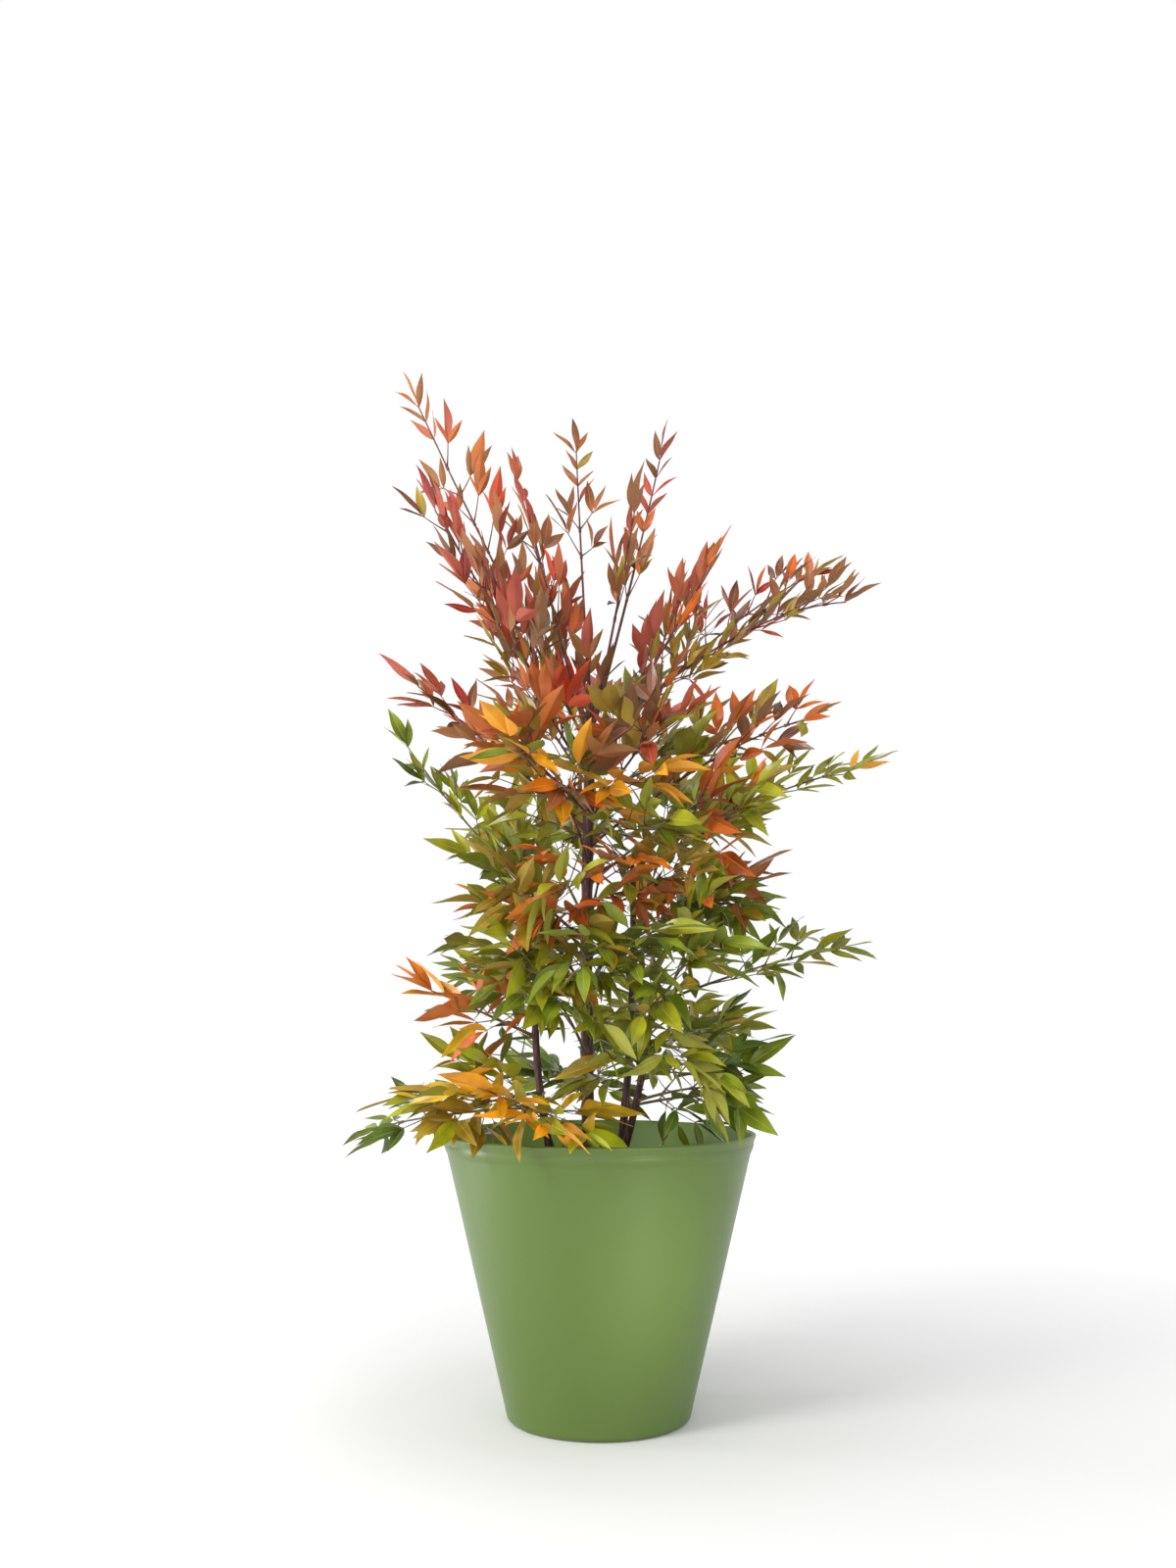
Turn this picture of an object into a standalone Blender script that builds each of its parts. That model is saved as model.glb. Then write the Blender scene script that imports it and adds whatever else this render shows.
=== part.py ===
"""A heavenly bamboo in a tapered planter, in metres with +Z up.

The origin is the middle of the planter's flat underside. The shrub is a clump of four canes. Each compound
leaf is a frond: a bare limb that leaves a cane, and beyond it a mass of side twigs with leaflets.
"""
import math
import random
from collections import namedtuple

import bmesh
import bpy
from mathutils import Matrix, Vector
from mathutils.bvhtree import BVHTree

SEED = 11
CLEAR = 0.0003
UP = Vector((0.0, 0.0, 1.0))

# Planter sizes
POT_HEIGHT = 0.320
POT_RIM_RADIUS = 0.1745
POT_FOOT_RADIUS = 0.1020
POT_WALL = 0.0045
POT_FLOOR = 0.006
POT_LIP_BAND = 0.019
POT_LIP_PROUD = 0.0012
POT_FOOT_ROUND = 0.008
POT_STEPS = 28

# Potting soil
SOIL_BELOW_RIM = 0.038
SOIL_MOUND = 0.015
SOIL_FLAT_RADIUS = 0.085
SOIL_TOP = POT_HEIGHT - SOIL_BELOW_RIM + SOIL_MOUND

# Canes
CANE_FLARE = 0.45
CANE_FLARE_HEIGHT = 0.016
CANE_STATIONS = 5

# Limbs and twigs
LIMB_RADIUS = 0.0019
STEM_RADIUS = 0.0015
STEM_END_RADIUS = 0.0010
TWIG_RADIUS = 0.0011
TWIG_END_RADIUS = 0.0008
LIMB_STATIONS = 3
STEM_STATIONS = 4

# The growth rule: how far apart side twigs and leaflets stand, and how they lean
TWIG_STEP = 0.060
TWIG_ANGLE = math.radians(48)
TWIG_SHORTEST = 0.032
TWIG_TAPER = 0.60
TWIG_BEND = 0.20
TWIG_CUP = 0.15
LEAFLET_STEP = 0.042
LEAFLET_FIRST = 0.004
LEAFLET_ANGLE = math.radians(44)
LEAF_FIRST = 0.03
ANGLE_JITTER = math.radians(10)
PITCH_JITTER = 0.28
ROLL_JITTER = math.radians(35)
LEANS = (1.0, 1.0, 1.3, 1.6, 2.0, 2.4)

# A leaflet's blade
LEAF_LENGTH = 0.056
LEAF_WIDTH = 0.39
LEAF_THICKNESS = 0.024
LEAF_WIDEST = 0.42
LEAF_DROOP = 0.10
LEAF_JITTER = 0.16
LEAF_TERMINAL = 1.12
LEAF_SIDE = 0.94
LEAF_SUNK = 0.0006
TIP_SUNK = 0.0030
TEST_ROOT = 0.22
TEST_GROW = 0.0005

Cane = namedtuple("Cane", "name foot top foot_radius top_radius bow")
Frond = namedtuple("Frond", "name cane height tip arch bare roll lift leaf spread tint")
Leaf = namedtuple("Leaf", "base along normal length")
Twig = namedtuple("Twig", "start end start_radius end_radius")

# foot and top are (x, y) and (x, y, height); bow is how far the middle stands off the straight line
CANES = [
    Cane("main", (-0.011, 0.000), (-0.008, 0.000, 0.800), 0.0074, 0.0050, (-0.004, 0.0)),
    Cane("right", (0.024, -0.010), (0.037, -0.016, 0.625), 0.0046, 0.0032, (0.006, 0.0)),
    Cane("fore", (0.026, -0.034), (0.058, -0.052, 0.470), 0.0042, 0.0030, (0.004, -0.006)),
    Cane("left", (-0.054, -0.006), (-0.064, -0.012, 0.575), 0.0044, 0.0030, (-0.012, 0.0)),
]

# height is where the frond leaves its cane, tip its furthest leaf tip, arch how far it bows upward as a
# share of its length, bare its leafless share, roll the turn of its plane in degrees, lift how far leaflets
# turn up, leaf the size of its leaflets, and spread the length of its lowest side twigs as a share of its own
FRONDS = [
    Frond("top_left_high", "main", 0.762, (-0.223, 0.020, 1.182), -0.03, 0.30, 60, 0.55, 0.90, 0.085, "red"),
    Frond("top_left_mid", "main", 0.744, (-0.200, -0.075, 1.035), -0.02, 0.20, -55, 0.50, 1.02, 0.170, "bronze"),
    Frond("top_left_inner", "main", 0.772, (-0.085, -0.030, 1.035), -0.03, 0.22, -20, 0.50, 1.12, 0.110, "red"),
    Frond("top_left_low", "main", 0.722, (-0.130, -0.135, 0.900), -0.02, 0.22, -50, 0.50, 1.25, 0.270, "red"),
    Frond("top_mid_left", "main", 0.782, (-0.105, 0.075, 1.118), -0.04, 0.52, 20, 0.50, 0.92, 0.060, "bronze"),
    Frond("top_mid", "main", 0.786, (-0.028, 0.130, 1.168), -0.06, 0.60, 0, 0.50, 0.88, 0.060, "bronze"),
    Frond("top_mid_right", "main", 0.790, (0.080, 0.050, 1.134), -0.05, 0.44, 30, 0.50, 0.88, 0.050, "bronze"),
    Frond("top_fore", "main", 0.776, (-0.012, -0.105, 0.868), -0.04, 0.28, 0, 0.60, 1.00, 0.100, "red"),
    Frond("top_right_fore", "main", 0.784, (0.046, -0.070, 1.040), -0.04, 0.46, 25, 0.50, 0.95, 0.080, "bronze"),
    Frond("right_long", "main", 0.758, (0.318, -0.020, 0.912), 0.20, 0.26, 40, 0.60, 0.95, 0.120, "bronze"),
    Frond("right_long_back", "main", 0.742, (0.295, 0.120, 0.995), 0.12, 0.26, 45, 0.55, 0.95, 0.110, "bronze"),
    Frond("right_inner", "main", 0.740, (0.142, -0.060, 0.973), -0.02, 0.24, 35, 0.55, 1.02, 0.130, "red"),
    Frond("right_high", "main", 0.700, (0.188, -0.020, 0.770), 0.04, 0.20, 45, 0.15, 1.35, 0.160, "bronze"),
    Frond("back_high", "main", 0.726, (0.050, 0.235, 0.865), 0.02, 0.22, 10, 0.40, 1.20, 0.180, "bronze"),
    Frond("back_left_high", "main", 0.712, (-0.105, 0.200, 0.880), 0.00, 0.22, -20, 0.40, 1.20, 0.200, "bronze"),
    Frond("left_red", "main", 0.664, (-0.236, -0.040, 0.842), 0.02, 0.28, -30, 0.10, 1.12, 0.100, "red"),
    Frond("fore_high_left", "main", 0.680, (-0.108, -0.162, 0.742), 0.04, 0.20, -35, 0.00, 1.50, 0.300, "red"),
    Frond("fore_high_right", "main", 0.672, (0.080, -0.170, 0.770), 0.05, 0.20, 35, 0.20, 1.40, 0.300, "bronze"),
    Frond("right_bronze", "main", 0.645, (0.266, -0.085, 0.780), 0.12, 0.24, 45, 0.20, 1.15, 0.115, "bronze"),
    Frond("right_lime", "main", 0.610, (0.346, 0.035, 0.748), 0.06, 0.30, 35, 0.15, 1.00, 0.090, "amber"),
    Frond("fore_high", "main", 0.630, (-0.050, -0.205, 0.690), 0.10, 0.20, 0, -0.45, 1.50, 0.380, "orange"),
    Frond("back_right", "main", 0.600, (0.150, 0.225, 0.720), 0.06, 0.24, 25, 0.10, 1.40, 0.240, "green"),
    Frond("left_green", "main", 0.540, (-0.248, 0.065, 0.800), -0.09, 0.30, -45, 0.30, 1.00, 0.080, "green"),
    Frond("right_rust", "main", 0.575, (0.180, -0.165, 0.675), 0.05, 0.22, 40, -0.15, 1.40, 0.220, "orange"),
    Frond("back_mid", "main", 0.560, (-0.100, 0.240, 0.710), 0.06, 0.24, -15, 0.00, 1.40, 0.280, "green"),
    Frond("fore_rust", "main", 0.535, (0.010, -0.235, 0.610), 0.12, 0.20, 15, -0.50, 1.50, 0.400, "orange"),
    Frond("left_mid", "main", 0.515, (-0.140, -0.060, 0.650), 0.02, 0.20, -50, -0.10, 1.50, 0.150, "green"),
    Frond("right_orange", "main", 0.520, (0.200, -0.100, 0.605), 0.04, 0.24, 40, -0.20, 1.40, 0.210, "orange"),
    Frond("right_green_high", "right", 0.540, (0.185, 0.020, 0.595), 0.08, 0.20, 35, -0.10, 1.40, 0.200, "green"),
    Frond("fore_left_mid", "main", 0.480, (-0.095, -0.195, 0.575), 0.10, 0.20, -35, -0.40, 1.50, 0.300, "amber"),
    Frond("fore_right_mid", "fore", 0.440, (0.105, -0.215, 0.520), 0.12, 0.20, 30, -0.40, 1.50, 0.340, "green"),
    Frond("right_green_far", "right", 0.455, (0.326, 0.080, 0.535), 0.06, 0.30, 30, -0.05, 1.02, 0.110, "green"),
    Frond("back_low_left", "left", 0.450, (-0.115, 0.215, 0.500), 0.08, 0.22, -20, -0.15, 1.40, 0.260, "green"),
    Frond("left_amber", "left", 0.430, (-0.240, -0.050, 0.500), 0.02, 0.24, -45, 0.15, 1.15, 0.120, "amber"),
    Frond("fore_mid", "main", 0.455, (0.015, -0.240, 0.520), 0.14, 0.20, 0, -0.50, 1.50, 0.400, "green"),
    Frond("back_low_right", "right", 0.400, (0.110, 0.245, 0.440), 0.10, 0.22, 15, -0.20, 1.40, 0.300, "green"),
    Frond("right_green_low", "right", 0.410, (0.185, -0.050, 0.430), 0.10, 0.20, 35, -0.20, 1.40, 0.220, "green"),
    Frond("left_low", "left", 0.395, (-0.150, 0.050, 0.430), 0.10, 0.20, -40, -0.15, 1.40, 0.200, "green"),
    Frond("fore_low_left", "main", 0.410, (-0.070, -0.230, 0.480), 0.14, 0.20, -15, -0.50, 1.50, 0.380, "green"),
    Frond("fore_low", "fore", 0.380, (0.045, -0.235, 0.400), 0.18, 0.18, 0, -0.45, 1.50, 0.360, "green"),
    Frond("left_olive", "left", 0.365, (-0.195, -0.135, 0.325), 0.08, 0.20, -35, -0.15, 1.40, 0.260, "amber"),
    Frond("right_fore_low", "fore", 0.360, (0.170, -0.145, 0.360), 0.14, 0.18, 35, -0.25, 1.40, 0.220, "green"),
    Frond("right_foot", "right", 0.350, (0.205, 0.050, 0.340), 0.12, 0.20, 25, -0.15, 1.25, 0.260, "green"),
    Frond("left_foot", "left", 0.348, (-0.300, 0.040, 0.308), 0.06, 0.24, -20, -0.10, 1.20, 0.100, "green"),
    Frond("fore_gold", "left", 0.340, (-0.085, -0.205, 0.325), 0.18, 0.20, -10, -0.25, 1.40, 0.340, "amber"),
    Frond("back_foot", "main", 0.345, (-0.030, 0.230, 0.355), 0.14, 0.22, 0, -0.15, 1.40, 0.320, "green"),
]

# The fronds whose leafless share is a bough of its own
BOUGHS = (
    "top_left_high",
    "top_mid_right",
    "right_long",
    "left_red",
    "right_bronze",
    "right_lime",
    "left_green",
    "right_green_far",
)

# base colour, roughness
FINISHES = {
    "pot": ((0.205, 0.335, 0.085), 0.38),
    "soil": ((0.045, 0.030, 0.020), 0.95),
    "bark": ((0.085, 0.035, 0.030), 0.70),
    "petiole": ((0.200, 0.050, 0.045), 0.55),
    "red": ((0.420, 0.075, 0.035), 0.45),
    "bronze": ((0.230, 0.095, 0.045), 0.45),
    "orange": ((0.480, 0.150, 0.030), 0.45),
    "amber": ((0.520, 0.290, 0.030), 0.45),
    "green": ((0.115, 0.190, 0.030), 0.45),
}


def clear_scene():
    for old in list(bpy.data.objects):
        bpy.data.objects.remove(old)


def new_collection(name):
    made = bpy.data.collections.new(name)
    bpy.context.scene.collection.children.link(made)
    return made


def make_finishes():
    """One Principled material for each finish."""
    made = {}
    for name, (colour, roughness) in FINISHES.items():
        material = bpy.data.materials.new(name)
        material.use_nodes = True
        shader = material.node_tree.nodes["Principled BSDF"]
        shader.inputs["Base Color"].default_value = (*colour, 1.0)
        shader.inputs["Roughness"].default_value = roughness
        shader.inputs["Metallic"].default_value = 0.0
        made[name] = material
    return made


def add_object(name, data, material, collection):
    made = bpy.data.objects.new(name, data)
    data.materials.append(material)
    collection.objects.link(made)
    return made


def turned(name, profile, material, collection):
    """A body turned round the Z axis from a profile of (radius, height) points."""
    mesh = bpy.data.meshes.new(name)
    points = [(radius, 0.0, height) for radius, height in profile]
    mesh.from_pydata(points, [(i, i + 1) for i in range(len(points) - 1)], [])
    made = add_object(name, mesh, material, collection)
    screw = made.modifiers.new("turn", "SCREW")
    screw.axis = "Z"
    screw.angle = math.tau
    screw.steps = POT_STEPS
    screw.render_steps = POT_STEPS
    screw.use_merge_vertices = True
    screw.merge_threshold = 0.00001
    screw.use_smooth_shade = True
    return made


def pot_radius(height):
    """The planter's outer radius at a height."""
    return POT_FOOT_RADIUS + (POT_RIM_RADIUS - POT_FOOT_RADIUS) * height / POT_HEIGHT


def make_pot(material, collection):
    """The planter: a tapered shell with a flat underside, a rounded foot and a slight lip band."""
    band_foot = POT_HEIGHT - POT_LIP_BAND
    lip = pot_radius(POT_HEIGHT) + POT_LIP_PROUD
    inner_rim = lip - POT_WALL - POT_LIP_PROUD
    edge = POT_WALL * 0.3
    foot = pot_radius(POT_FOOT_ROUND)
    profile = [
        (0.0, POT_FLOOR),
        (pot_radius(POT_FLOOR) - POT_WALL - POT_FOOT_ROUND, POT_FLOOR),
        (pot_radius(POT_FLOOR + POT_FOOT_ROUND) - POT_WALL, POT_FLOOR + POT_FOOT_ROUND),
        (inner_rim - (POT_RIM_RADIUS - pot_radius(band_foot)), band_foot),
        (inner_rim, POT_HEIGHT - edge),
        (inner_rim + edge, POT_HEIGHT),
        (lip - edge, POT_HEIGHT),
        (lip, POT_HEIGHT - edge),
        (pot_radius(band_foot) + POT_LIP_PROUD, band_foot),
        (pot_radius(band_foot) - POT_LIP_PROUD * 0.3, band_foot - POT_LIP_PROUD),
        (foot, POT_FOOT_ROUND),
        (foot - POT_FOOT_ROUND * 0.35, POT_FOOT_ROUND * 0.3),
        (foot - POT_FOOT_ROUND, 0.0),
        (0.0, 0.0),
    ]
    return turned("pot", profile, material, collection)


def make_soil(material, collection):
    """The potting soil: it fills the planter 0.3 mm clear of the wall, and stands a little higher round the canes."""
    gap = 2 * CLEAR
    floor = POT_FLOOR + CLEAR
    wall_top = POT_HEIGHT - SOIL_BELOW_RIM
    profile = [
        (0.0, SOIL_TOP),
        (SOIL_FLAT_RADIUS, SOIL_TOP),
        (pot_radius(wall_top) - POT_WALL - gap, wall_top),
        (pot_radius(floor + POT_FOOT_ROUND) - POT_WALL - gap, floor + POT_FOOT_ROUND),
        (pot_radius(floor) - POT_WALL - POT_FOOT_ROUND - gap, floor),
        (0.0, floor),
    ]
    return turned("soil", profile, material, collection)


def add_tube(name, stations, sides, material, collection):
    """A tapering tube along stations of (point, radius), as a curve with filled ends."""
    thickest = max(radius for _, radius in stations)
    curve = bpy.data.curves.new(name, "CURVE")
    curve.dimensions = "3D"
    curve.bevel_depth = thickest
    curve.bevel_resolution = sides
    curve.use_fill_caps = True
    spline = curve.splines.new("POLY")
    spline.points.add(len(stations) - 1)
    for point, (place, radius) in zip(spline.points, stations):
        point.co = (*place, 1.0)
        point.radius = radius / thickest
    return add_object(name, curve, material, collection)


def as_mesh(tube, collection):
    """The tube as a mesh object with its caps welded, ready for a Boolean."""
    bpy.context.view_layer.update()
    graph = bpy.context.evaluated_depsgraph_get()
    name, matrix = tube.name, tube.matrix_world.copy()
    mesh = bpy.data.meshes.new_from_object(tube.evaluated_get(graph))
    bpy.data.objects.remove(tube)
    skin = bmesh.new()
    skin.from_mesh(mesh)
    bmesh.ops.remove_doubles(skin, verts=skin.verts, dist=0.00001)
    skin.to_mesh(mesh)
    skin.free()
    made = bpy.data.objects.new(name, mesh)
    made.matrix_world = matrix
    collection.objects.link(made)
    return made


def cane_point(cane, height):
    """The middle of a cane at a height."""
    share = (height - SOIL_TOP) / (cane.top[2] - SOIL_TOP)
    bulge = 4 * share * (1 - share)
    x = cane.foot[0] + (cane.top[0] - cane.foot[0]) * share + cane.bow[0] * bulge
    y = cane.foot[1] + (cane.top[1] - cane.foot[1]) * share + cane.bow[1] * bulge
    return Vector((x, y, height))


def cane_radius(cane, height):
    share = (height - SOIL_TOP) / (cane.top[2] - SOIL_TOP)
    flare = 1 + CANE_FLARE * max(0.0, 1 - (height - SOIL_TOP) / CANE_FLARE_HEIGHT)
    return (cane.foot_radius + (cane.top_radius - cane.foot_radius) * share) * flare


def make_cane(cane, material, collection):
    """A cane from its flat cut on the soil, with a flared foot, to its flat tip."""
    foot = SOIL_TOP + CLEAR
    base = cane_point(cane, SOIL_TOP + CANE_FLARE_HEIGHT)
    stations = [(Vector((base.x, base.y, foot)), cane_radius(cane, foot))]
    for i in range(CANE_STATIONS + 1):
        height = base.z + (cane.top[2] - base.z) * i / CANE_STATIONS
        stations.append((cane_point(cane, height), cane_radius(cane, height)))
    return add_tube("cane_" + cane.name, stations, 2, material, collection)


def rachis_of(frond):
    """The three control points of a frond's midline, from its cane to the foot of its last leaflet."""
    cane = next(c for c in CANES if c.name == frond.cane)
    middle = cane_point(cane, frond.height)
    tip = Vector(frond.tip)
    outward = Vector((tip.x - middle.x, tip.y - middle.y, 0.0)).normalized()
    start = middle + outward * (cane_radius(cane, frond.height) + LIMB_RADIUS + CLEAR)
    bend = (start + tip) / 2 + UP * frond.arch * (tip - start).length
    last = (tip - bend).normalized()
    end = tip - last * LEAF_LENGTH * LEAF_TERMINAL * frond.leaf
    return start, bend, end


def along_rachis(rachis, share):
    """The point and direction at a share of a midline."""
    start, bend, end = rachis
    point = start * (1 - share) ** 2 + bend * 2 * share * (1 - share) + end * share**2
    return point, ((bend - start) * (1 - share) + (end - bend) * share).normalized()


def side_of(direction, roll):
    """The level direction across a limb, turned about the limb by roll."""
    side = direction.cross(UP).normalized()
    return Matrix.Rotation(roll, 3, direction) @ side


def limb_stations(rachis, first, last, count, radius, end_radius):
    shares = [first + (last - first) * i / count for i in range(count + 1)]
    radii = [radius + (end_radius - radius) * i / count for i in range(count + 1)]
    return [(along_rachis(rachis, s)[0], r) for s, r in zip(shares, radii)]


def unit_shape(build, **sizes):
    """The points and faces of a primitive."""
    shape = bmesh.new()
    build(shape, **sizes)
    points = [v.co.copy() for v in shape.verts]
    faces = [[v.index for v in f.verts] for f in shape.faces]
    shape.free()
    return points, faces


BLADE_POINTS, BLADE_FACES = unit_shape(bmesh.ops.create_uvsphere, u_segments=3, v_segments=2, radius=1.0)
BLADE_HALF = max(x for x, _, _ in BLADE_POINTS)
TWIG_POINTS, TWIG_FACES = unit_shape(
    bmesh.ops.create_cone, cap_ends=True, segments=3, radius1=1.0, radius2=1.0, depth=2.0
)


def blade_points(leaf, root=0.0, grow=0.0):
    """The leaflet's corners: a flat blade of six faces, keeled beneath, that droops to its tip."""
    across = leaf.normal.cross(leaf.along)
    half_width = leaf.length * LEAF_WIDTH / 2
    thickness = leaf.length * LEAF_THICKNESS
    made = []
    for x, y, z in BLADE_POINTS:
        share = LEAF_WIDEST * (1 + z) if z < 0 else LEAF_WIDEST + (1 - LEAF_WIDEST) * z
        share = max(share, root)
        rise = -y * (thickness + grow) / 1.5 - LEAF_DROOP * leaf.length * share**2
        made.append(
            leaf.base
            + leaf.along * (share * leaf.length + z * grow)
            - across * x / BLADE_HALF * (half_width + grow)
            + leaf.normal * rise
        )
    return made


def twig_points(twig, grow=0.0):
    """The corners of a straight three-sided twig that tapers."""
    direction = (twig.end - twig.start).normalized()
    turn = direction.to_track_quat("Z", "Y")
    made = []
    for x, y, z in TWIG_POINTS:
        share = (1 + z) / 2
        radius = twig.start_radius + (twig.end_radius - twig.start_radius) * share + grow
        made.append(twig.start.lerp(twig.end, share) + turn @ Vector((x, y, 0.0)) * radius)
    return made


class Space:
    """What has grown so far, by the piece it belongs to, so that nothing new grows into it."""

    def __init__(self):
        self.grown = []

    def add(self, owner, points, faces):
        self.grown.append((owner, BVHTree.FromPolygons(points, faces)))

    def add_object(self, made):
        graph = bpy.context.evaluated_depsgraph_get()
        mesh = made.evaluated_get(graph).to_mesh()
        points = [made.matrix_world @ v.co for v in mesh.vertices]
        self.add(made.name, points, [list(p.vertices) for p in mesh.polygons])

    def meets(self, points, faces, owner, own):
        """True where a shape meets the owner's own growth, or where it meets anything else."""
        shape = BVHTree.FromPolygons(points, faces)
        return any(shape.overlap(tree) for name, tree in self.grown if (name == owner) == own)


def leaf_at(base, along, normal, frond, scale, lean, rng):
    """A leaflet that leans by the seeded jitter, which is lean times as wide."""
    pitch = frond.lift + lean * rng.uniform(-PITCH_JITTER, PITCH_JITTER)
    along = (along + UP * pitch).normalized()
    normal = (normal - along * normal.dot(along)).normalized()
    normal = Matrix.Rotation(lean * rng.uniform(-ROLL_JITTER, ROLL_JITTER), 3, along) @ normal
    length = LEAF_LENGTH * frond.leaf * scale * (1 + rng.uniform(-LEAF_JITTER, LEAF_JITTER))
    return Leaf(base - along * LEAF_SUNK, along, normal, length)


def last_leaf(point, direction, normal, frond, rng):
    """The leaflet at the end of a twig or stem, as several leans to choose from."""
    base = point - direction * TIP_SUNK
    return [leaf_at(base, direction, normal, frond, LEAF_TERMINAL, lean, rng) for lean in LEANS]


def leaf_pair(point, direction, across, normal, frond, rng):
    """Two opposite leaflets, each as several leans to choose from."""
    pair = []
    for side in (-1, 1):
        choices = []
        for lean in LEANS:
            angle = LEAFLET_ANGLE + lean * rng.uniform(-ANGLE_JITTER, ANGLE_JITTER)
            along = direction * math.cos(angle) + across * side * math.sin(angle)
            choices.append(leaf_at(point, along, normal, frond, LEAF_SIDE, lean, rng))
        pair.append(choices)
    return pair


def twig_growth(frond, point, direction, side, sign, length, rng):
    """One side twig and the leaflets on it."""
    angle = TWIG_ANGLE + rng.uniform(-ANGLE_JITTER, ANGLE_JITTER)
    normal = side.cross(direction)
    lean = direction * math.cos(angle) + side * sign * math.sin(angle) + normal * TWIG_CUP
    lean = (lean + UP * frond.lift * 0.4).normalized()
    length *= 1 + rng.uniform(-LEAF_JITTER, LEAF_JITTER) / 2
    end = point + lean * length + direction * TWIG_BEND * length
    heading = (end - point).normalized()
    across = heading.cross(normal).normalized()
    twig = Twig(point, end, TWIG_RADIUS, TWIG_END_RADIUS)
    groups = [last_leaf(end, heading, normal, frond, rng)]
    below = LEAFLET_FIRST
    while length - below > LEAFLET_STEP * 0.5:
        groups += leaf_pair(point.lerp(end, 1 - below / length), heading, across, normal, frond, rng)
        below += LEAFLET_STEP * frond.leaf
    return twig, groups


def plan_frond(frond, rachis, rng):
    """A frond's side twigs, long ones first, then leaflets on the stem itself where twigs would be too short."""
    length = (rachis[1] - rachis[0]).length + (rachis[2] - rachis[1]).length
    first = frond.bare + LEAF_FIRST
    reach = frond.spread * (length + LEAF_LENGTH * frond.leaf)
    roll = math.radians(frond.roll)
    plan = []
    share = first
    while (1 - share) * length > LEAFLET_STEP * 0.6:
        point, direction = along_rachis(rachis, share)
        side = side_of(direction, roll)
        twig_length = reach * (1 - TWIG_TAPER * (share - first) / (1 - first))
        if twig_length < TWIG_SHORTEST:
            plan.append((None, leaf_pair(point, direction, side, side.cross(direction), frond, rng)))
            share += LEAFLET_STEP * frond.leaf / length
            continue
        for sign in (-1, 1):
            plan.append(twig_growth(frond, point, direction, side, sign, twig_length, rng))
        share += TWIG_STEP / length
    point, direction = along_rachis(rachis, 1 - LEAFLET_FIRST / length)
    side = side_of(direction, roll)
    plan.append((None, leaf_pair(point, direction, side, side.cross(direction), frond, rng)))
    end, direction = along_rachis(rachis, 1.0)
    plan.append((None, [last_leaf(end, direction, side.cross(direction), frond, rng)]))
    return plan


def make_stem(frond, rachis, material, space, collection):
    """The stem of a frond's mass, from 0.3 mm beyond its limb, or beside its cane, to the frond's last leaflets."""
    length = (rachis[1] - rachis[0]).length + (rachis[2] - rachis[1]).length
    limb = frond.name in BOUGHS
    first = frond.bare + 2 * CLEAR / length if limb else 0.0
    radius = STEM_RADIUS if limb else LIMB_RADIUS
    stations = limb_stations(rachis, first, 1.0, STEM_STATIONS, radius, STEM_END_RADIUS)
    stem = as_mesh(add_tube("foliage_" + frond.name, stations, 0, material, collection), collection)
    space.add_object(stem)
    return stem


def grow_mass(frond, rachis, stem, space):
    """Grows a frond's side twigs and leaflets and fuses them with its stem into one body."""
    name = stem.name
    rng = random.Random(SEED + 31 * FRONDS.index(frond))
    growth = new_collection(name + "_growth")
    for twig, groups in plan_frond(frond, rachis, rng):
        if twig:
            if space.meets(twig_points(twig, TEST_GROW), TWIG_FACES, name, False):
                continue
            add_shape(name + "_twig", twig_points(twig), TWIG_FACES, growth)
            space.add(name, twig_points(twig), TWIG_FACES)
        for choices in groups:
            leaf = next((choice for choice in choices if is_free(choice, space, name)), None)
            if leaf:
                add_shape(name + "_leaf", blade_points(leaf), BLADE_FACES, growth)
                space.add(name, blade_points(leaf), BLADE_FACES)
    fuse(stem, growth)


def is_free(leaf, space, owner):
    """True where a leaflet clears every other piece, and its outer part its own mass as well."""
    if space.meets(blade_points(leaf, 0.0, TEST_GROW), BLADE_FACES, owner, False):
        return False
    return not space.meets(blade_points(leaf, TEST_ROOT, TEST_GROW), BLADE_FACES, owner, True)


def add_shape(name, points, faces, collection):
    mesh = bpy.data.meshes.new(name)
    mesh.from_pydata(points, [], faces)
    made = bpy.data.objects.new(name, mesh)
    collection.objects.link(made)
    return made


def fuse(stem, operands):
    """Joins a stem and all that grows on it with one Boolean union, and removes what was joined."""
    union = stem.modifiers.new("fuse", "BOOLEAN")
    union.operation = "UNION"
    union.operand_type = "COLLECTION"
    union.collection = operands
    union.solver = "MANIFOLD"
    bpy.context.view_layer.update()
    graph = bpy.context.evaluated_depsgraph_get()
    fused = bpy.data.meshes.new_from_object(stem.evaluated_get(graph))
    stem.modifiers.clear()
    stem.data = fused
    for grown in list(operands.objects):
        bpy.data.objects.remove(grown)
    bpy.data.collections.remove(operands)


def main():
    clear_scene()
    finishes = make_finishes()
    plant = new_collection("heavenly_bamboo")
    space = Space()
    made = [make_pot(finishes["pot"], plant), make_soil(finishes["soil"], plant)]
    made += [make_cane(cane, finishes["bark"], plant) for cane in CANES]
    midlines = {frond.name: rachis_of(frond) for frond in FRONDS}
    for frond in FRONDS:
        if frond.name in BOUGHS:
            stations = limb_stations(
                midlines[frond.name], 0.0, frond.bare, LIMB_STATIONS, LIMB_RADIUS, STEM_RADIUS
            )
            made.append(add_tube("bough_" + frond.name, stations, 1, finishes["petiole"], plant))
    bpy.context.view_layer.update()
    for piece in made:
        space.add_object(piece)
    stems = [
        make_stem(frond, midlines[frond.name], finishes[frond.tint], space, plant) for frond in FRONDS
    ]
    for frond, stem in zip(FRONDS, stems):
        grow_mass(frond, midlines[frond.name], stem, space)


main()
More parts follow.
